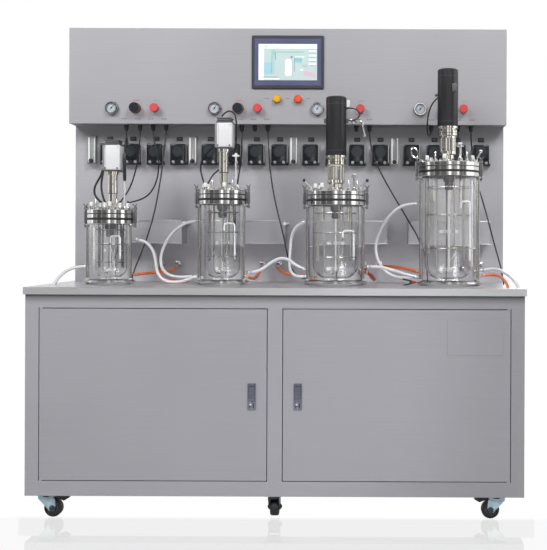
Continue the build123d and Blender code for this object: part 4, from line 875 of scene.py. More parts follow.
# %% Motors
boxes = Piece("motor_boxes", enamel_white, "motor_paint", "stirrer_motors")
box_sides = Piece("motor_box_sides", enamel_grey, "motor_paint", "stirrer_motors")
motors = Piece("motor_tubes", anodised, "motor_paint", "stirrer_motors")
lugs = Piece("motor_fittings", cap_grey, "motor_paint", "stirrer_motors")
bands = Piece("motor_bands", satin, "bright_steel", "stirrer_motors")
y = VESSEL_Y
for (x, _, _, foot, crown, _, upper), shift in zip(VESSELS, DRIVE_SHIFT):
    x += shift
    if upper < SMALL_COLUMN:
        x, w = x + (.0025 if x < -.5 else .0045), .034
        boxes.add(block((x - w + .006, y - .038, foot + .004), (x + w, y + .036, crown), .006, 3))
        box_sides.add(block((x - w - .001, y - .036, foot + .002), (x - w + .013, y + .034, crown - .001),
                            .004, 2))
        bands.add(block((x - w + .012, y - .0386, foot + .012), (x - w + .0145, y + .0345, crown - .004),
                        .001, 1))
        for k, (dx, h) in enumerate(((.031, .006), (.028, .0045), (.029, .0055))):
            plate_z = crown + .0078 * k
            lugs.add(block((x - dx, y - dx, plate_z), (x + dx, y + dx, plate_z + h), .003, 2))
        lugs.add(block((x - .026, y - .026, crown + .001), (x + .026, y + .026, crown + .0195), .004, 2))
        lugs.add(block((x - .030, y - .034, foot), (x + .030, y + .032, foot + .005), .002, 1))
        for side in (-1, 1):
            lugs.add(disc(.0032, 0, .003, steps=12), facing(x + side * .023, y - .0368, foot + .011))
            bands.add(disc(.0022, 0, .003, steps=12), facing(x + side * .026, y - .0368, crown - .008))
        continue
    motors.add(turned((0, foot), (.0395, foot), (.040, foot + .001), (.040, crown - .005),
                      (.036, crown - .0008), (.034, crown), (.012, crown), (.011, crown - .001),
                      (0, crown - .001), steps=64), at(x, y, 0))
    for z in (foot + .018, crown - .030):
        lugs.add(ring(.0398, .04025, z, z + .0012, .0003, 64), at(x, y, 0))
    for angle in (30, 150, 270):
        bands.add(hexagon(.003, 0, .0022), at(*around(x, y, .026, angle, crown - .0002)))
left, right = VESSELS[2][0], VESSELS[3][0] + DRIVE_SHIFT[3]
for x in (left - .043, left + .043):
    lugs.add(block((x - .005, y - .008, 1.466), (x + .005, y + .008, 1.484), .002))
boxes.add(block((left + .0405, y - .010, 1.528), (left + .053, y + .006, 1.556), .002))
lugs.add(block((right + .016, y - .0445, 1.588), (right + .028, y - .034, 1.610), .0015))
lugs.add(block((right + .013, y - .0415, 1.585), (right + .031, y - .033, 1.618), .0015))
lugs.add(rod((right - .050, y, 1.574), (right - .038, y, 1.580), .0048))
done(boxes, box_sides, motors, lugs, bands)

# %% [markdown]
# Every lid carries a crowd of ports: white probe heads where the leads go in, capped spares, barbed
# tubes and sample valves. One function makes each kind from a few turned solids. The leads end inside
# the probe heads, so their heights must match the routes above.

# %% Ports on the lids
port_steel = Piece("port_steel", polished, "bright_steel", "head_fittings")
port_heads = Piece("port_heads", port_white, "gland_plastic", "head_fittings")
port_dark = Piece("port_dark", navy_plastic, "gland_plastic", "head_fittings")
port_clear = Piece("port_clear", clear_plastic, "clear_plastic", "head_fittings")


def port(x, y, z, kind):
    here = at(x, y, z)
    port_steel.add(ring(.004, .0095, -.0055, .0035, .0006, 28), here)
    if kind == "probe":
        port_steel.add(hexagon(.0095, .0035, .008), here)
        port_heads.add(turned((0, .008), (.0078, .008), (.0082, .009), (.0082, .015), (.0065, .0165),
                              (.0060, .022), (.0045, .0235), (0, .0235), steps=28), here)
        port_dark.add(turned((0, .0235), (.0042, .0235), (.0038, .030), (0, .031), steps=16), here)
    elif kind == "cap":
        port_steel.add(turned((0, .0035), (.0078, .0035), (.0078, .0085), (.0068, .0095), (0, .0095),
                              steps=28), here)
        port_heads.add(turned((0, .0095), (.0072, .0095), (.0074, .0105), (.0074, .0235), (.0058, .026),
                              (0, .026), steps=28), here)
    elif kind == "tube":
        port_steel.add(turned((0, .0035), (.007, .0035), (.007, .0075), (.0034, .009), (.0034, .022),
                              (.0042, .0235), (.0034, .0255), (.0042, .027), (.0034, .029),
                              (.0042, .0305), (.0030, .036), (0, .036), steps=24), here)
    elif kind == "sampler":
        port_steel.add(turned((0, .0035), (.0088, .0035), (.0088, .011), (.0055, .013), (.0045, .016),
                              (.0045, .050), (.0065, .052), (.0065, .060), (.004, .062), (0, .062),
                              steps=28), here)
        port_steel.add(rod((x - .014, y, z + .056), (x + .014, y, z + .056), .0034))
        port_heads.add(turned((0, .062), (.0085, .062), (.0092, .064), (.0092, .068), (.0075, .0695),
                              (0, .0695), steps=24), here)
    elif kind == "tall_sampler":
        port_steel.add(turned((0, .0035), (.0085, .0035), (.0085, .011), (.0045, .013), (.0045, .018),
                              (0, .018), steps=28), here)
        port_clear.add(turned((.0026, .018), (.0042, .018), (.0042, .128), (.0026, .128), (.0026, .018),
                              steps=24), here)
        port_heads.add(turned((0, .127), (.0052, .127), (.0056, .129), (.0056, .138), (.004, .142),
                              (0, .142), steps=24), here)
        port_heads.add(rod((x - .013, y, z + .132), (x + .013, y, z + .132), .0036))
    else:  # a sleeve: a clear tube with a long dark handle
        port_steel.add(hexagon(.0085, .0035, .008), here)
        port_clear.add(turned((.0020, .008), (.0036, .008), (.0036, .111), (.0020, .111), (.0020, .008),
                              steps=24), here)
        port_dark.add(turned((0, .108), (.0045, .108), (.0060, .112), (.0060, .118), (.0065, .119),
                             (.0065, .198), (.0058, .200), (.0058, .214), (.004, .2175), (0, .2185),
                             steps=28), here)


PORT_FOOT = (1.129, 1.204, 1.204, 1.315)  # a little above each lid
# each port's place from the middle of its lid, in millimetres, and its kind
LID_PORTS = (
    ((-36, -5, "probe"), (-14, -32, "probe"), (34, 10, "probe"), (64, 15, "probe"), (-70, -14, "cap"),
     (-47, -38, "tube"), (14, -62, "cap"), (38, -50, "tube"), (-30, 52, "cap"), (58, -14, "sleeve")),
    ((-57, 2, "probe"), (-75, 15, "probe"), (53, 30, "probe"), (23, 28, "probe"), (-60, -42, "cap"),
     (-30, -60, "tube"), (16, -64, "cap"), (54, -18, "tall_sampler"), (46, -50, "tube")),
    ((-80, -12, "cap"), (-52, -58, "cap"), (-10, -84, "tube"), (52, -58, "tube"), (84, -20, "tube"),
     (70, 44, "sampler"), (-64, 44, "probe"), (0, 82, "cap")),
    ((97, 30, "probe"), (-86, -8, "cap"), (-58, -62, "tube"), (-24, -84, "cap"), (36, -78, "sampler"),
     (64, -52, "tube"), (90, -18, "cap"), (-66, 56, "probe")))
for (x, *_), z, ports in zip(VESSELS, PORT_FOOT, LID_PORTS):
    for dx, dy, kind in ports:
        port(x + dx / 1000, VESSEL_Y + dy / 1000, z, kind)

# %% [markdown]
# A pair of swing-bolt clamps holds each joint together. A clamp is two dark jaws with a block between
# them, two threaded studs with nuts and a wing on top, and its thin dark parts are what gives the
# rings their busy ends. The third lid also has lever handles, and the fourth has a loop and a handle
# with a knob. These are bent from round bar, so each is a tube through a few points.

# %% Clamps
jaws = Piece("clamp_jaws", clamp_steel, "bright_steel", "head_fittings")
studs = Piece("clamp_studs", clamp_bolts, "bright_steel", "head_fittings")
for x, r, top, *_ in VESSELS:
    for side in (-1, 1):
        px, y, z = x + side * (r + .008), VESSEL_Y, top
        near, far = sorted((px - side * .0145, px + side * .006))
        jaws.add(block((near, y - .009, z + .0553), (far, y + .009, z + .0625), .0015))
        jaws.add(block((near + .001, y - .009, z - .0075), (far - .001, y + .009, z - .0005), .0015))
        jaws.add(block((px - .0072, y - .0062, z + .004), (px + .0062, y + .0062, z + .052), .0025, 2))
        for dy in (-.0068, .0068):
            spot = at(px, y + dy, z)
            studs.add(rod((0, 0, -.013), (0, 0, .072), .0021, 12), spot)
            studs.add(hexagon(.0048, -.0125, -.0080), spot)
            studs.add(hexagon(.0048, .0628, .0673), spot)
            studs.add(disc(.0040, .0675, .0700, steps=14), spot)
        for tilt in (-1, 1):
            studs.add(rod((px, y - .0068, z + .070), (px + tilt * .009, y - .0068, z + .079), .0028, 12,
                          .0018))

# %% Lever handles of the third lid
x, r, top = VESSELS[2][:3]
for side in (-1, 1):
    px, y = x + side * (r - .018), -.116
    port_steel.add(tube([(px, y, top + LID_TOP), (px, y, top + .070),
                         (px + side * .004, y - .0005, top + .076),
                         (px + side * .026, y - .004, top + .097)], .0032))
    port_dark.add(turned((0, -.0065), (.0035, -.0060), (.0058, -.002), (.0058, .003), (.004, .006),
                         (0, .007), steps=20), at(px + side * .026, y - .004, top + .097))
    port_steel.add(hexagon(.0085, .0, .005), at(px, y, top + LID_TOP))

# %% Loop and handle of the fourth lid
x, r, top = VESSELS[3][:3]
px, y = x - r + .012, -.118
port_steel.add(tube([(px, y, top + LID_TOP), (px, y, top + .064), (px - .010, y - .001, top + .070),
                     (px - .020, y - .002, top + .076)], .0036))
loop = [(px - .030 + .012 * cos(radians(a)) - .006 * sin(radians(a)), y - .002,
         top + .092 + .019 * sin(radians(a)) + .003 * cos(radians(a))) for a in range(0, 361, 15)]
port_steel.add(tube(loop, .0034, "POLY"))
px = x + r - .014
port_steel.add(tube([(px, y, top + LID_TOP), (px, y, top + .066), (px + .006, y - .001, top + .078),
                     (px + .016, y - .003, top + .098)], .0036))
port_steel.add(turned((0, -.0075), (.0045, -.0065), (.0068, -.002), (.0068, .003), (.0045, .0065),
                      (0, .0075), steps=24), at(px + .016, y - .003, top + .099))
done(port_steel, port_heads, port_dark, port_clear, jaws, studs)

# %% [markdown]
# The pumps sit in a row on the wall panel. A pump head is a dark moulded body on a pale back plate.
# Its smoked cover is a thin glossy slab with rounded corners, with the rotor's rollers showing as
# low relief, a bright hinge strip at its right and two pale tube clamps along its foot. A rocker
# switch stands above each pump.

# %% Peristaltic pumps and their switches
PUMPS_X, PUMP_Z, COVER_Y = (-.754, -.657, -.560, -.462), 1.367, .1655
plates = Piece("pump_back_plates", pump_back, "pump_plastic", "peristaltic_pumps")
bodies = Piece("pump_bodies", navy_plastic, "pump_plastic", "peristaltic_pumps")
covers = Piece("pump_covers", smoked, "pump_plastic", "peristaltic_pumps")
rotors = Piece("pump_rotors", rotor_grey, "pump_plastic", "peristaltic_pumps")
clamps = Piece("pump_clamps", clamp_grey, "pump_plastic", "peristaltic_pumps")
strips = Piece("pump_hinges", satin, "bright_steel", "peristaltic_pumps")
switches = Piece("rocker_switches", mark_black, "pump_plastic")
rockers = Piece("rocker_keys", cap_grey, "pump_plastic")
for n in range(4):
    for pump_x in PUMPS_X:
        x, z = pump_x + n * PITCH, PUMP_Z
        plates.add(block((x - .0400, .2035, z - .044), (x + .0410, WALL, z + .045), .003, 2))
        bodies.add(block((x - .035, .180, z - .041), (x + .034, .2040, z + .043), .005, 2))
        bodies.add(block((x - .037, .186, z - .044), (x + .037, .2038, z - .030), .003, 2))
        covers.add(block((x - .0320, COVER_Y, z - .034), (x + .0300, .1795, z + .043), .005, 3))
        axle = facing(x - .001, COVER_Y, z + .012)
        rotors.add(disc(.0215, 0, .0008, .0003, 36), axle)
        for angle in (90, 210, 330):
            rotors.add(disc(.0062, 0, .0018, .0006, 20), axle @ at(*around(0, 0, .0125, angle)))
        rotors.add(ring(.0232, .0246, 0, .0012, .0003, 40), axle)
        strips.add(block((x + .0312, .1760, z - .034), (x + .0345, .1805, z + .042), .0006, 1))
        for dx in (-.018, .018):
            clamps.add(turned((0, 0), (.0056, 0), (.0064, .001), (.0064, .0125), (.0048, .0150),
                              (0, .0155), steps=24), facing(x + dx, .1785, z - .0325))
        bodies.add(rod((x, WALL, z), (x, WALL + .062, z), .018, 28))
        switches.add(block((x - .0125, WALL - .0045, 1.4255), (x + .0125, WALL, 1.4425), .0015, 2))
        rockers.add(block((x - .0095, WALL - .0058, 1.4280), (x + .0095, WALL - .0035, 1.4400), .0012, 2))
done(plates, bodies, covers, rotors, clamps, strips, switches, rockers)

# %% [markdown]
# A flowmeter is a clear acrylic block with a bored channel, a float, a scale and a needle valve at
# its foot. The block itself is the frame's own shape with a clear finish. The scale is a set of
# short lines without figures, and the float, the screws and the ring round the valve are added here,
# with two pale strips behind the channels that are painted highlights on the clear block.

# %% Flowmeters
FLOWMETER_X = -.826
floats = Piece("flow_floats", satin, "bright_steel")
scales = Piece("flow_scales", mark_grey, "clear_plastic")
flow_glint_strips = Piece("flow_painted_highlights", port_white, "clear_plastic")
for n in range(4):
    x = FLOWMETER_X + n * PITCH
    # painted highlights: two pale strips behind the channels, for the glints on the clear block
    for dx, w in ((-.0142, .0075), (.0100, .0045)):
        flow_glint_strips.add(block((x + dx, .1825, 1.331), (x + dx + w, .1836, 1.437), .0004, 1))
    floats.add(turned((0, 0), (.0032, .001), (.0034, .004), (.0012, .0085), (0, .009), steps=20),
               at(x, .196, 1.366 + .009 * n))
    for k in range(13):
        w, z = .0085 if k % 4 == 0 else .005, 1.3555 + .006 * k
        scales.add(block((x + .0055, .1835, z), (x + .0055 + w, .1841, z + .0009)))
    for z in (1.331, 1.437):
        for dx in (-.0125, .0125):
            floats.add(disc(.0026, 0, .0022, steps=12), facing(x + dx, .1842, z))
    floats.add(ring(.0092, .0115, 0, .0016, .0004, 28), facing(x, .184, 1.338))
done(floats, scales, flow_glint_strips)

# %% [markdown]
# On the header each station has a pressure gauge, a regulator and a valve. The gauge is the piece
# that shows most: a chrome case, a pale dial with a scale of short lines, and a dark needle. The
# knobs are the frame's own turned shapes. Behind them stand a coloured skirt in a chrome collar, or a
# dark valve body. Two chrome bezels stand round the buttons between the middle stations.

# %% Gauges, regulators and valve bodies
GAUGE_X, REGULATOR_X, VALVE_X, DIAL_Z = -.723, -.626, -.546, 1.550
cases = Piece("gauge_cases", polished, "bright_steel", "panel_instruments")
rims = Piece("gauge_rims", dark_steel, "bright_steel", "panel_instruments")
dials = Piece("gauge_dials", dial_white, "pump_plastic", "panel_instruments")
needles = Piece("gauge_needles", mark_black, "pump_plastic", "panel_instruments")
skirts = Piece("regulator_skirts", knob_brown, "knob_red", "panel_instruments")
valve_bodies = Piece("valve_bodies", dark_steel, "bright_steel", "panel_instruments")
for n in range(4):
    dial = facing(GAUGE_X + n * PITCH, HEADER, DIAL_Z)
    cases.add(turned((.0205, .0165), (.0215, .0185), (.0240, .0185), (.0258, .0165), (.0262, .013),
                     (.0262, .003), (.0245, 0), (.007, 0), (.007, -.030), (0, -.030), (0, .010),
                     (.0205, .010), (.0205, .0165), steps=64), dial)
    rims.add(ring(.0203, .0218, .0150, .0191, .0004, 64), dial)
    rims.add(ring(.0256, .0272, .0015, .0050, .0006, 64), dial)
    dials.add(disc(.0204, .0100, .0125, .0004, 56), dial)
    for k in range(19):
        reach = .0135 if k % 3 == 0 else .0155
        tick = [dial @ Vector(around(0, 0, radius, 225 - 15 * k, .0128)) for radius in (reach, .0178)]
        needles.add(rod(*tick, .0005, 6))
    pointer = [dial @ Vector(around(0, 0, radius, 52 + 3 * n, .0138)) for radius in (-.007, .0165)]
    needles.add(rod(*pointer, .0012, 8, .0004))
    needles.add(disc(.0028, .0125, .0152, .0006, 20), dial)
    skirts.add(turned((0, 0), (.0205, 0), (.0215, .001), (.0215, .0065), (.0185, .0080), (.005, .0080),
                      (.005, .032), (0, .032), steps=56), facing(REGULATOR_X + n * PITCH, HEADER, DIAL_Z))
    cases.add(ring(.0206, .0232, 0, .0022, .0006, 56), facing(REGULATOR_X + n * PITCH, HEADER, DIAL_Z))
    valve_bodies.add(turned((0, -.030), (.007, -.030), (.007, 0), (.0155, 0), (.0155, .006),
                            (.0115, .0098), (.004, .0098), (.004, .026), (0, .026), steps=40),
                     facing(VALVE_X + n * PITCH, HEADER, DIAL_Z))
for x in (-.044, .042):
    cases.add(turned((.0112, -.010), (.013, -.010), (.013, 0), (.018, 0), (.0182, .002), (.0165, .005),
                     (.0112, .005), (.0112, -.010), steps=56), facing(x, HEADER, 1.589))
done(cases, rims, dials, needles, skirts, valve_bodies)

# %% [markdown]
# A knob is held by its ribs. They are thin rods set round the knob's own turned shape, and a disc, a
# shallow ring and a pointer finish its face. Each knob's ribs are a piece of their own, because they
# turn with it.

# %% Ribs and caps on the knobs
for n in range(4):
    for name, x, radius, length, gap, tint, slot in (
            ("pressure_knob", REGULATOR_X, .020, .029, .0085, knob_black, "knob_black"),
            ("valve_knob", VALVE_X, .017, .021, .0105, knob_red, "knob_red")):
        grips = Piece(f"{name}_{n + 1}_grips", tint, slot, body=f"{name}_body_{n + 1}")
        here, end = facing(x + n * PITCH, HEADER, DIAL_Z), gap + length
        for angle in range(0, 360, 15):
            grips.add(post(0, 0, radius, angle, gap + .004, end - .005, .0011, 8), here)
        grips.add(disc(radius * .97, end - .002, end + .0003, .001, 40), here)
        grips.add(ring(radius * .42, radius * .62, end - .0004, end + .0006, .0003, 40), here)
        grips.add(block((-.0007, radius * .25, end - .0005), (.0007, radius * .78, end + .0008)), here)
        grips.done()

# %% [markdown]
# Small printed marks stand above the knobs, the buttons and the glands. Nothing is written on this
# part, so each mark is a bare strip in a muted colour, a third of a millimetre proud of the sheet.

# %% Bare label strips
GLANDS_X, BUTTON_MARKS_X = (-.674, -.617, -.563, -.509), (-.086, -.001, .084)
RED_MARK_X, GREEN_MARK_X, KNOB_MARK_Z = -.623, -.541, 1.5835
marks_grey = Piece("label_strips", mark_grey, "cabinet_steel")
marks_red = Piece("label_strips_red", moulded("tint_red", (0.5, 0.2, 0.18), 0.5), "cabinet_steel")
marks_green = Piece("label_strips_green", moulded("tint_green", (0.2, 0.42, 0.3), 0.5), "cabinet_steel")


def strip(holder, x, z, width, height):
    holder.add(block((x - width / 2, HEADER - .0003, z - height / 2),
                     (x + width / 2, HEADER + .0004, z + height / 2)))


for n in range(4):
    strip(marks_red, RED_MARK_X + n * PITCH, KNOB_MARK_Z, .026, .0035)
    strip(marks_green, GREEN_MARK_X + n * PITCH, KNOB_MARK_Z, .026, .0035)
    for x in GLANDS_X:
        for dx in (-.008, 0, .008):
            strip(marks_grey, x + n * PITCH + dx, 1.5065, .0048, .0042)
for x in BUTTON_MARKS_X:
    for dx in (-.006, 0, .006):
        strip(marks_grey, x + dx, 1.5925, .0038, .0032)
done(marks_grey, marks_red, marks_green)

# %% [markdown]
# The operator panel is a dark bezel with a blue-grey inner frame round a lit display. The picture on
# it is a plain process diagram with no words: a title bar, a vessel outline, blocks of colour and a
# column of menu bars. Each block is a thin tile, and a tile's finish glows a little, as a lit display
# does, so it keeps its pale colours in shadow.

# %% Frame of the touch screen
SCREEN_Z, HALF_WIDTH, HALF_HEIGHT = 1.741, .1365, .0960
screen_frame = Piece("screen_frame", frame_blue, "bezel_plastic")
for low, high in (((-HALF_WIDTH, .0755), (HALF_WIDTH, HALF_HEIGHT)),
                  ((-HALF_WIDTH, -HALF_HEIGHT), (HALF_WIDTH, -.0755)),
                  ((-HALF_WIDTH, -.0765), (-.1212, .0765)), ((.1212, -.0765), (HALF_WIDTH, .0765))):
    screen_frame.add(block((low[0], HEADER - .0098, SCREEN_Z + low[1]),
                           (high[0], HEADER - .0085, SCREEN_Z + high[1]), .0004, 1))
screen_frame.done()


# %% Touch screen
# each finish of the display: its colour, its glow and its tiles, in millimetres from the middle
TILES = {
    "ground": ((0.62, 0.76, 0.76), 0.55, ((-120.5, -74.5, 120.5, 74.5),)),
    "white": ((0.96, 1.0, 1.0), 0.62, (
        (-120, 55, 120, 74), (-120, -74, -98, 54), (-12, -52, 16, 8), (-7, -57, 11, 12),
        (86, 41, 117, 49), (86, 23, 117, 31), (86, 6, 117, 14), (86, -11, 117, -3),
        (-98, -72, -34, -66), (30, 18, 68, 24), (52, -36, 62, -28))),
    "sky": ((0.42, 0.72, 0.84), 0.55, (
        (-97, -50, -66, -22), (-97, -20, -66, -2), (30, -4, 58, 14), (-60, -50, -54, 50))),
    "mint": ((0.5, 0.8, 0.7), 0.55, (
        (27, 2, 62, 16), (-82, 0, -70, 22), (-70, 28, -50, 52), (26, 28, 70, 34))),
    "teal": ((0.16, 0.42, 0.42), 0.3, (
        (-118, -62.5, -42, -60.5), (27, 17, 60, 18.6), (12, 17, 19, 24), (-66, -46, -64, 44),
        (-52, 8, -50, 40), (26, -40, 28, 16), (-50, 40, 66, 41.5))),
    "olive": ((0.5, 0.56, 0.42), 0.4, (
        (88, 36, 112, 38), (88, 19, 112, 21), (88, 1, 112, 3), (88, -16, 112, -14),
        (88, 51, 112, 52.5))),
    "grey": ((0.6, 0.6, 0.62), 0.55, (
        (-16, -48, -13, 6), (17, -48, 20, 6), (-100, 62, -78, 65), (60, -20, 80, -12),
        (-112, -40, -104, -38), (-112, -30, -104, -28), (-112, -50, -104, -48))),
    "pink": ((0.85, 0.55, 0.68), 0.55, ()),
}
PINK_DOTS = ((74, -46, 11), (92, -50, 9), (106, -54, 7))  # middle x and z, and radius
for tint, (colour, strength, tiles) in TILES.items():
    name = f"screen_{tint}"
    material = moulded(name, [c * 0.45 for c in colour], 0.25, 900, 0.04)
    shader(material).inputs["Emission Color"].default_value = (*colour, 1)
    shader(material).inputs["Emission Strength"].default_value = strength
    sheet = Piece(name, material, "bezel_plastic")
    lift = .0093 if tint == "ground" else .0097
    for x0, z0, x1, z1 in tiles:
        sheet.add(block((x0 / 1000, HEADER - lift, SCREEN_Z + z0 / 1000),
                        (x1 / 1000, HEADER - .0079, SCREEN_Z + z1 / 1000)))
    if tint == "pink":
        for x, z, radius in PINK_DOTS:
            sheet.add(disc(radius / 1000, .0082, .0097, .0001, 28),
                      facing(x / 1000, HEADER, SCREEN_Z + z / 1000))
    sheet.done()

# %% [markdown]
# Behind each vessel a folded sheet trough holds reagent bottles. It is made from flat panels with a
# small fold along the front edges, because that fold is what catches the light. On the wall near it
# are two hose couplings with hexagon nuts and a peg with a white cap, and by the third station an air
# tube bends down from the header to a nozzle. Nuts, pegs and caps are turned, and the tube is bent.

# %% Shelves, pegs and couplings
SHELF_LEFT, SHELF_RIGHT, SHELF_FRONT, SHELF_FOOT = -.770, -.431, .1100, .995
COUPLINGS_X, COUPLING_Z = (-.532, -.466), .910
# each peg's x and z, and how much longer it is than the shortest
PEGS = ((-.4215, 1.077, .046), (-.009, 1.077, .046), (-.441 + 2 * PITCH, 1.084, 0),
        (-.441 + 3 * PITCH, 1.084, 0))
shelves = Piece("shelf_sheets", cabinet_sheet, "cabinet_steel", "bottle_shelves")
folds = Piece("shelf_folds", satin, "cabinet_steel", "bottle_shelves")
pegs = Piece("wall_pegs", satin, "bright_steel", "wall_fittings")
peg_caps = Piece("peg_caps", cap_white, "gland_plastic", "wall_fittings")
nuts = Piece("coupling_nuts", polished, "bright_steel", "wall_fittings")
for n, (peg_x, peg_z, reach) in enumerate(PEGS):
    a, b = SHELF_LEFT + n * PITCH, SHELF_RIGHT + n * PITCH
    shelves.add(block((a, SHELF_FRONT, SHELF_FOOT), (b, .1115, 1.089), .0005, 1))
    shelves.add(block((a, SHELF_FRONT, SHELF_FOOT), (b, .2095, .9965), .0005, 1))
    shelves.add(block((a, .2080, SHELF_FOOT), (b, .2098, 1.094), .0005, 1))
    for x in (a, b - .0015):
        shelves.add(block((x, SHELF_FRONT, SHELF_FOOT), (x + .0015, .2098, 1.089)))
    folds.add(block((a, .1085, 1.0865), (b, .1120, 1.0905), .0008, 2))
    folds.add(block((a, .1082, .9938), (b, .1125, .9975), .0008, 2))
    for x in (a + .045, (a + b) / 2, b - .045):
        folds.add(disc(.004, 0, .002, steps=16), facing(x, .2080, 1.080))
    for coupling_x in COUPLINGS_X:
        x, z = coupling_x + n * PITCH, COUPLING_Z
        here = facing(x, WALL, z)
        nuts.add(turned((0, 0), (.0125, 0), (.013, .001), (.013, .003), (0, .003), steps=32), here)
        nuts.add(hexagon(.0105, .003, .010), here)
        nuts.add(turned((0, .010), (.0075, .010), (.0075, .024), (.0085, .025), (.0085, .030),
                        (.006, .031), (0, .031), steps=28), here)
        nuts.add(rod((x, WALL - .0305, z), (x, WALL - .038, z - .007), .0078, 20, .0070))
        nuts.add(rod((x, WALL, z), (x, WALL + .014, z), .006, 20))
        nuts.add(block((x - .012, WALL - .024, z + .0055), (x + .012, WALL - .021, z + .0105), .0012))
        nuts.add(rod((x, WALL - .0225, z + .002), (x, WALL - .0225, z + .008), .0022, 12))
    peg = facing(peg_x, WALL, peg_z)
    pegs.add(turned((0, 0), (.009, 0), (.009, .003), (.0052, .005), (.0046, reach + .058),
                    (0, reach + .058), steps=32), peg)
    peg_caps.add(turned((0, reach + .057), (.0078, reach + .057), (.0090, reach + .060),
                        (.0090, reach + .065), (.007, reach + .069), (0, reach + .070), steps=32), peg)
VENT_X, VENT_Z = .268, 1.500
nuts.add(tube([(VENT_X, HEADER, VENT_Z), (VENT_X, .101, 1.5005), (.269, .093, 1.5005), (.275, .0905, 1.500),
               (.291, .090, 1.499), (.301, .090, 1.497), (.305, .090, 1.487), (.316, .090, 1.436)], .0065))
nuts.add(turned((0, 0), (.0115, 0), (.012, .001), (.012, .006), (.009, .008), (0, .008), steps=32),
         facing(VENT_X, HEADER, VENT_Z))
nuts.add(rod((.3152, .090, 1.4405), (.3168, .090, 1.4335), .0088, 28))
nuts.add(rod((.3050, .090, 1.4935), (.3075, .090, 1.4800), .0082, 28))
done(shelves, folds, pegs, peg_caps, nuts)

# %% [markdown]
# Where a soft hose is pushed over a glass or steel nipple, a worm clamp holds it. A clamp is a thin
# steel band with a screw housing, turned so that it sits square on the hose's end.

# %% Hose clamps
worm_clamps = Piece("hose_clamps", satin, "bright_steel")
# each clamp's place and the way that the hose leaves it
CLAMPS = (
    ((-.769, -.090, .903), (-1, 0, 0)), ((-.5765, -.0732, 1.010), (1, .17, 0)),
    ((-.337, -.090, .864), (-1, 0, -.2)), ((-.3309, -.0551, 1.084), (-1, .35, 0)),
    ((-.3251, -.0421, .866), (-1, .2, 0)), ((-.133, -.090, .882), (1, .07, 0)),
    ((.084, -.0836, .897), (-1, .3, .3)), ((.0882, -.0582, 1.081), (-1, .3, 0)),
    ((.093, -.0439, .866), (-1, .35, 0)), ((.5253, -.0571, 1.155), (-1, .3, 0)),
    ((.5248, -.0593, .866), (-1, .2, 0)), ((.330, -.090, .906), (1, -.05, 0)),
    ((.5211, -.0944, .868), (-1, -.1, .2)), ((.7743, -.0767, .894), (1, 0, .18)),
    ((-.5935, -.033, .872), (1, .76, 0)), ((-.466, .172, .902), (0, -1, -.5)),
    ((-.532, .172, .902), (0, -1, -.6)), ((-.1095, .172, .902), (0, -1, -.6)),
    ((-.1467, -.039, .866), (.36, .93, -.2)), ((-.0435, .172, .902), (.1, -1, -.5)),
    ((.1128, -.0109, .868), (-.6, .8, 0)), ((.3175, -.0361, .884), (.85, .53, -.2)),
    ((.313, .172, .902), (.5, -.87, -.6)), ((.379, .172, .902), (.5, -.8, 0)),
    ((.538, -.0265, .884), (-.74, .66, .16)), ((.7745, -.1011, .874), (1, -.1, .1)))
for place, way in CLAMPS:
    along = Vector(way).normalized()
    here = Matrix.Translation(Vector(place) + along * .010) @ pointing(along)
    worm_clamps.add(ring(.0061, .0068, -.004, .004, .0003, 28), here)
    worm_clamps.add(block((-.0045, .0064, -.0032), (.0045, .0102, .0032), .0008, 1), here)
    worm_clamps.add(rod((-.0075, .0083, 0), (-.0045, .0083, 0), .0022, 10), here)
worm_clamps.done()
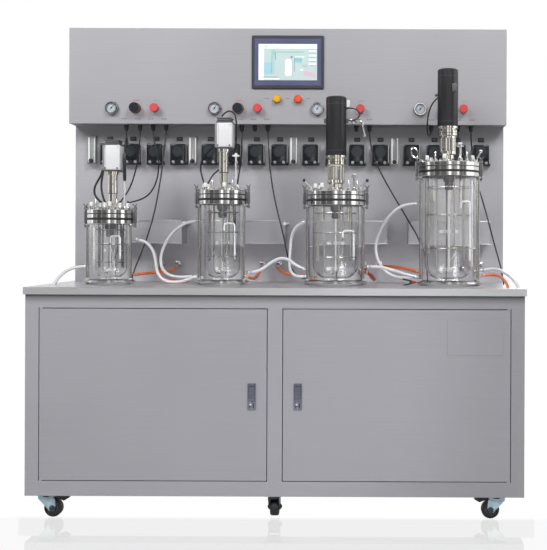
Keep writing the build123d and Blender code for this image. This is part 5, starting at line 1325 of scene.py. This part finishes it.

# %% [markdown]
# The stirrers inside the glass are the frame's own shapes. Round them stands a cage of welded hoops
# and bars with three baffles. From each lid hang a bearing block, a level probe, three probe sleeves,
# a dip tube and a shorter one, and a pale drop tube with a crook in front. Bars are rods, and a bent
# tube is a curve made solid. Less light falls into the two small jars, so their cages get a darker
# copy of the steel as painted shade.

# %% Fittings inside the glass
SMALL_RING = .1  # a ring radius below this is one of the two small vessels
inside = Piece("jar_fittings", wet_steel, "bright_steel", "vessel_internals")
bright_sleeves = Piece("probe_sleeves", warm_steel, "bright_steel", "vessel_internals")
drop_tubes = Piece("drop_tubes", tube_white, "silicone", "vessel_internals")
small_inside = Piece("small_jar_fittings", shaded_steel, "bright_steel", "vessel_internals")
inside_dark = Piece("jar_bearings", slate_steel, "bright_steel", "vessel_internals")
y = VESSEL_Y
for x, r, top, *_ in VESSELS:
    wall, fill = r - .027, small_inside if r < SMALL_RING else inside
    cage, depth, under = wall - .005, top - .852, top + .040
    hoops = (top - .10 * depth, top - .36 * depth, top - .68 * depth)
    for z in hoops:
        fill.add(tube([around(x, y, cage, 7.5 * k, z) for k in range(49)], .0017, "POLY"))
    for angle in (40, 160, 280):
        fill.add(post(x, y, cage, angle, hoops[2] - .020, under, .0022))
        fill.add(block((-.0009, -.010, hoops[2] - .016), (.0009, 0, hoops[0] + .010), .0004, 1),
                 at(*around(x, y, cage, angle)) @ turn(angle - 90, "Z"))
    side = x - .52 * wall
    fill.add(tube([(side, y + .006, under), (side, y + .006, .950), (side, y + .006, .905),
                   (x - .46 * wall, y + .006, .886), (x - .20 * wall, y + .005, .8825),
                   (x - .008, y + .004, .8815)], .003))
    side, back = x + .3 * wall, y + .62 * wall
    fill.add(tube([(side, back, under), (side, back, 1.0), (side, back, .965),
                   (x + .18 * wall, y + .56 * wall, .945), (x + .05 * wall, y + .5 * wall, .925)], .0025))
    side = x + .66 * wall
    fill.add(rod((side, y + .004, .946), (side, y + .004, under), .0035, 20))
    fill.add(rod((side, y + .004, .936), (side, y + .004, .946), .003, 20, .0035))
    sleeve_foot = under - .32 * depth
    for dx, dy in ((-.62, .3), (.1, .72), (.55, .5)):
        side, back = x + dx * wall, y + dy * wall
        bright_sleeves.add(rod((side, back, sleeve_foot), (side, back, under), .0058, 24))
        bright_sleeves.add(rod((side, back, sleeve_foot - .006), (side, back, sleeve_foot), .0035, 24, .0058))
    inside_dark.add(turned((.0056, under - .090), (.012, under - .090), (.0165, under - .086),
                           (.0165, under - .060), (.022, under - .056), (.022, under), (.0056, under),
                           (.0056, under - .090), steps=36), at(x, y, 0))

# %% Drop tubes
# how far right of the middle each tube starts and ends, and the height of its crook
CROOKS = ((.004, .043, 1.023), (.010, .050, 1.074), (.028, .070, 1.047), (.045, .080, 1.163))
y = VESSEL_Y - .022
for (x, *_), (left, right, crook) in zip(VESSELS, CROOKS):
    left, right = x + left, x + right
    drop_tubes.add(tube([(left, y, crook - .026), (left, y, crook - .010), (left + .003, y, crook - .002),
                         (left + .010, y, crook), (right - .012, y, crook), (right - .003, y, crook - .002),
                         (right, y, crook - .012), (right, y, .935)], .0034))
done(small_inside, drop_tubes, inside, bright_sleeves, inside_dark)

# %% [markdown]
# The doors' locks and the nameplate are the cabinet's small hardware, and a dark strip under the
# worktop's edge is painted shade for the shadow under its lip. The lock plate and its lever are the
# frame's own, and the slot, the outline of the lever's recess, the rivets and the lever's ribs are
# added, with the key cylinder's face and a narrow strip beside it in white as a painted highlight.
# The nameplate is a bare sheet of the right door's steel, painted shade included, on a slightly
# larger dark one that shows as a line round it.

# %% Cabinet hardware
LOCK_X, KEYHOLE_Z = .083, .4165
backing = Piece("nameplate_backing", enamel_grey, "door_steel", body="right_door")
backing.add(block((.6205, FRONT - .0006, .594), (.8225, FRONT + .0004, .724), .0002, 1))
backing.done()
plate = Piece("blank_nameplate", right_door_shaded_sheet, "door_steel", body="right_door")
plate.add(block((.6218, FRONT - .0011, .5955), (.8212, FRONT + .0004, .7225), .0003, 1))
plate.done()
for word, x in (("left", -LOCK_X), ("right", LOCK_X)):
    keyhole = facing(x - .0035, FRONT, KEYHOLE_Z)
    # painted highlight: the key cylinder's face and a narrow strip beside it are white, for the glint on the
    # key
    painted_glint = Piece(f"lock_glint_{word}", cap_white, "lock_chrome", body=f"{word}_door")
    painted_glint.add(turned((0, .0026), (.0040, .0026), (.0042, .0032), (.0034, .0040), (0, .0042), steps=28), keyhole)
    painted_glint.add(block((x - .0055, FRONT - .0040, .4175), (x - .0030, FRONT - .0026, .4265), .0006))
    painted_glint.done()
    dark = Piece(f"lock_slot_{word}", mark_black, "lock_chrome", body=f"{word}_door")
    dark.add(block((x - .0040, FRONT - .0046, .4135), (x - .0030, FRONT - .0040, .4195)))
    dark.add(ring(.0046, .0068, .0026, .0034, .0002, 28), keyhole)
    dark.add(block((x + .0045, FRONT - .0034, .4040), (x + .0085, FRONT - .0026, .4220), .0003))
    dark.add(block((x - .0100, FRONT - .0034, .4030), (x - .0075, FRONT - .0026, .4110), .0003))
    for x0, z0, x1, z1 in ((-.0128, .4285, .0128, .4297), (-.0128, .4882, .0128, .4894),
                           (-.0128, .4285, -.0118, .4894), (.0118, .4285, .0128, .4894)):
        dark.add(block((x + x0, FRONT - .0034, z0), (x + x1, FRONT - .0026, z1)))
    dark.done()
    rivets = Piece(f"lock_studs_{word}", satin, "lock_chrome", body=f"{word}_door")
    for z in (.4005, .4905):
        rivets.add(disc(.0016, .0026, .0038, steps=14), facing(x, FRONT, z))
    rivets.done()
    ribs = Piece(f"lock_grip_{word}", lock_plate, "lock_chrome", body=f"{word}_lever")
    for k in range(5):
        z = .4415 + .0045 * k
        ribs.add(block((x - .0085, FRONT - .0042, z), (x + .0085, FRONT - .0029, z + .0020), .0003, 1))
    ribs.done()
# painted shade: a dark strip under the worktop's edge, for the shadow under its lip
lip_shade_strip = Piece("worktop_shade_strip", mark_grey, "bezel_plastic")
lip_shade_strip.add(block((-.899, FRONT - .0015, .8050), (.899, FRONT + .001, .8098), .0006, 1))
lip_shade_strip.done()

# %% [markdown]
# A caster swivels about its stem and its wheel rolls on an axle behind it. The frame has the fork and
# the wheel. The axle's nuts and the race under the plate ride with the fork, and a hub with six
# spokes rides with the wheel, so each caster gets two pieces.

# %% Caster details
# each caster's stem, and how far it is swivelled at rest
CASTERS = (("front_left", -.829, -.34, 0), ("front_middle", -.004, -.34, 90),
           ("front_right", .804, -.34, 180), ("rear_left", -.829, .34, 0),
           ("rear_middle", -.004, .34, 270), ("rear_right", .804, .34, 180))
TRAIL, AXLE_Z = .022, .0325
for name, x, y, swivel in CASTERS:
    here = at(x, y, 0) @ turn(swivel, "Z")
    fork = Piece(f"caster_trim_{name}", dark_zinc, "zinc", body=f"fork_{name}")
    for side in (-1, 1):
        face = here @ at(TRAIL, side * .0205, AXLE_Z) @ turn(-90 * side, "X")
        fork.add(hexagon(.0085, 0, .0042), face)
        fork.add(disc(.0040, .0042, .0062, steps=16), face)
        fork.add(ring(.0085, .0115, 0, .0008, .0003, 28), face)
    fork.add(ring(.0205, .0235, .0742, .0774, .0010, 36), here)
    fork.done()
    hub = Piece(f"caster_hub_{name}", hub_black, "pedal_plastic", body=f"wheel_{name}")
    for side in (-1, 1):
        face = here @ at(TRAIL, side * .0125, AXLE_Z) @ turn(-90 * side, "X")
        hub.add(ring(.0125, .0235, .0, .0015, .0005, 36), face)
        for angle in range(0, 360, 60):
            hub.add(rod(around(0, 0, .0125, angle, .0018), around(0, 0, .0225, angle, .0018), .0012, 6), face)
    hub.done()

# %% [markdown]
# The back and the ends are plain sheet, seen only from behind or from the side. A real cabinet has
# louvres where warm air leaves, screws round its covers and a mains inlet, and these keep those
# sides from looking unfinished.

# %% Back details
screw_heads = Piece("cover_screws", satin, "zinc")
louvres = Piece("cover_louvres", cabinet_sheet, "cabinet_steel")
for low, high, foot, top, gaps in ((-.899, -.001, .837, 1.486, 4), (.001, .899, .837, 1.486, 4),
                                   (-.899, .899, 1.488, 1.879, 8)):
    spots = [(low + .012 + (high - low - .024) * k / gaps, z) for k in range(gaps + 1)
             for z in (foot + .010, top - .010)]
    spots += [(low + .010, (foot + top) / 2), (high - .010, (foot + top) / 2)]
    for x, z in spots:
        screw_heads.add(disc(.0042, 0, .0018, .0008, 14), at(x, BACK, z) @ turn(-90, "X"))
    middle, half = (low + high) / 2, .11
    for k in range(7):
        z = top - .085 - .020 * k
        louvres.add(rod((middle - half, BACK + .0004, z), (middle + half, BACK + .0004, z), .0036, 12))
inlet = Piece("mains_inlet", mark_black, "pump_plastic")
inlet.add(block((.70, BACK - .001, .905), (.748, BACK + .0035, .965), .002, 2))
inlet.add(block((.706, BACK + .0030, .911), (.742, BACK + .0050, .935), .0012, 2))
inlet.add(block((.712, BACK + .0030, .942), (.736, BACK + .0062, .958), .0015, 2))
done(screw_heads, louvres, inlet)

# %% [markdown]
# A small spring clip with red jaws lies beside the fourth vessel and pinches a drain hose. It is two
# bent arms on a pin, modelled as bevelled blocks turned about that pin.

# %% Hose clip
PIN = (.4985, -.120, .848)
clip = Piece("hose_clip", mark_black, "pump_plastic")
clip_red = Piece("hose_clip_jaws", hose_red, "silicone")
for tilt in (-1, 1):
    arm = at(*PIN) @ turn(14 * tilt, "Y")
    clip.add(block((-.034, -.005, -.003 + .005 * tilt), (.004, .005, .003 + .005 * tilt), .002, 2), arm)
    clip_red.add(block((.002, -.006, -.0035 + .004 * tilt), (.022, .006, .0035 + .004 * tilt), .002, 2), arm)
clip.add(rod((0, -.008, 0), (0, .008, 0), .0042, 16), at(*PIN))
done(clip, clip_red)

# %% [markdown]
# The frame's own nodes that keep their shape still need a finish each. The record says which slot
# a node takes its finish from, and some nodes get their own, such as the worktop, which is glossier.

# %% Finishes of the frame's own nodes
wheel_rubber = moulded("wheel_rubber", (0.011, 0.011, 0.013), 0.5)
pedal_black = moulded("pedal_black", (0.012, 0.012, 0.014), 0.4)
gland_black = moulded("gland_black", (0.016, 0.016, 0.018), 0.4)
by_slot = {
    "cabinet_steel": cabinet_sheet, "door_steel": door_sheet, "bright_steel": polished, "zinc": zinc,
    "wheel_rubber": wheel_rubber, "pedal_plastic": pedal_black, "bezel_plastic": bezel_slate,
    "pump_plastic": navy_plastic, "clear_plastic": clear_plastic, "borosilicate": borosilicate,
    "motor_paint": anodised, "gland_plastic": gland_black, "cable_black": lead_black,
    "silicone": hose_white, "knob_black": knob_black, "knob_red": knob_red,
    "button_green": button_yellow, "button_red": button_red, "lock_chrome": lock_grey,
}
own = {
    "worktop": worktop_sheet, "cabinet_body": body_sheet, "door_right": right_door_shaded_sheet,
    # painted shade: the front middle fork gets the darker zinc, for the shadow it stands in
    "upper_cabinet": upper_sheet, "caster_fork_front_middle": dark_zinc, "caster_plates": dark_zinc,
    "lock_plate_left": lock_plate, "lock_plate_right": lock_plate,
}
for n in range(1, 5):
    own[f"pressure_knob_{n}"] = knob_brown
    own[f"flow_knob_{n}"] = mark_black
for row in frame["record"]["subparts"]:
    shape = frame["nodes"][row["node"]]
    shape.data.materials.clear()
    shape.data.materials.append(own.get(row["node"], by_slot[row["material_slot"]]))
print("nodes with a finish of their own", len(own), "and by slot", len(frame["nodes"]) - len(own))

# %% Freeing the scratch mesh
bpy.data.meshes.remove(scratch)
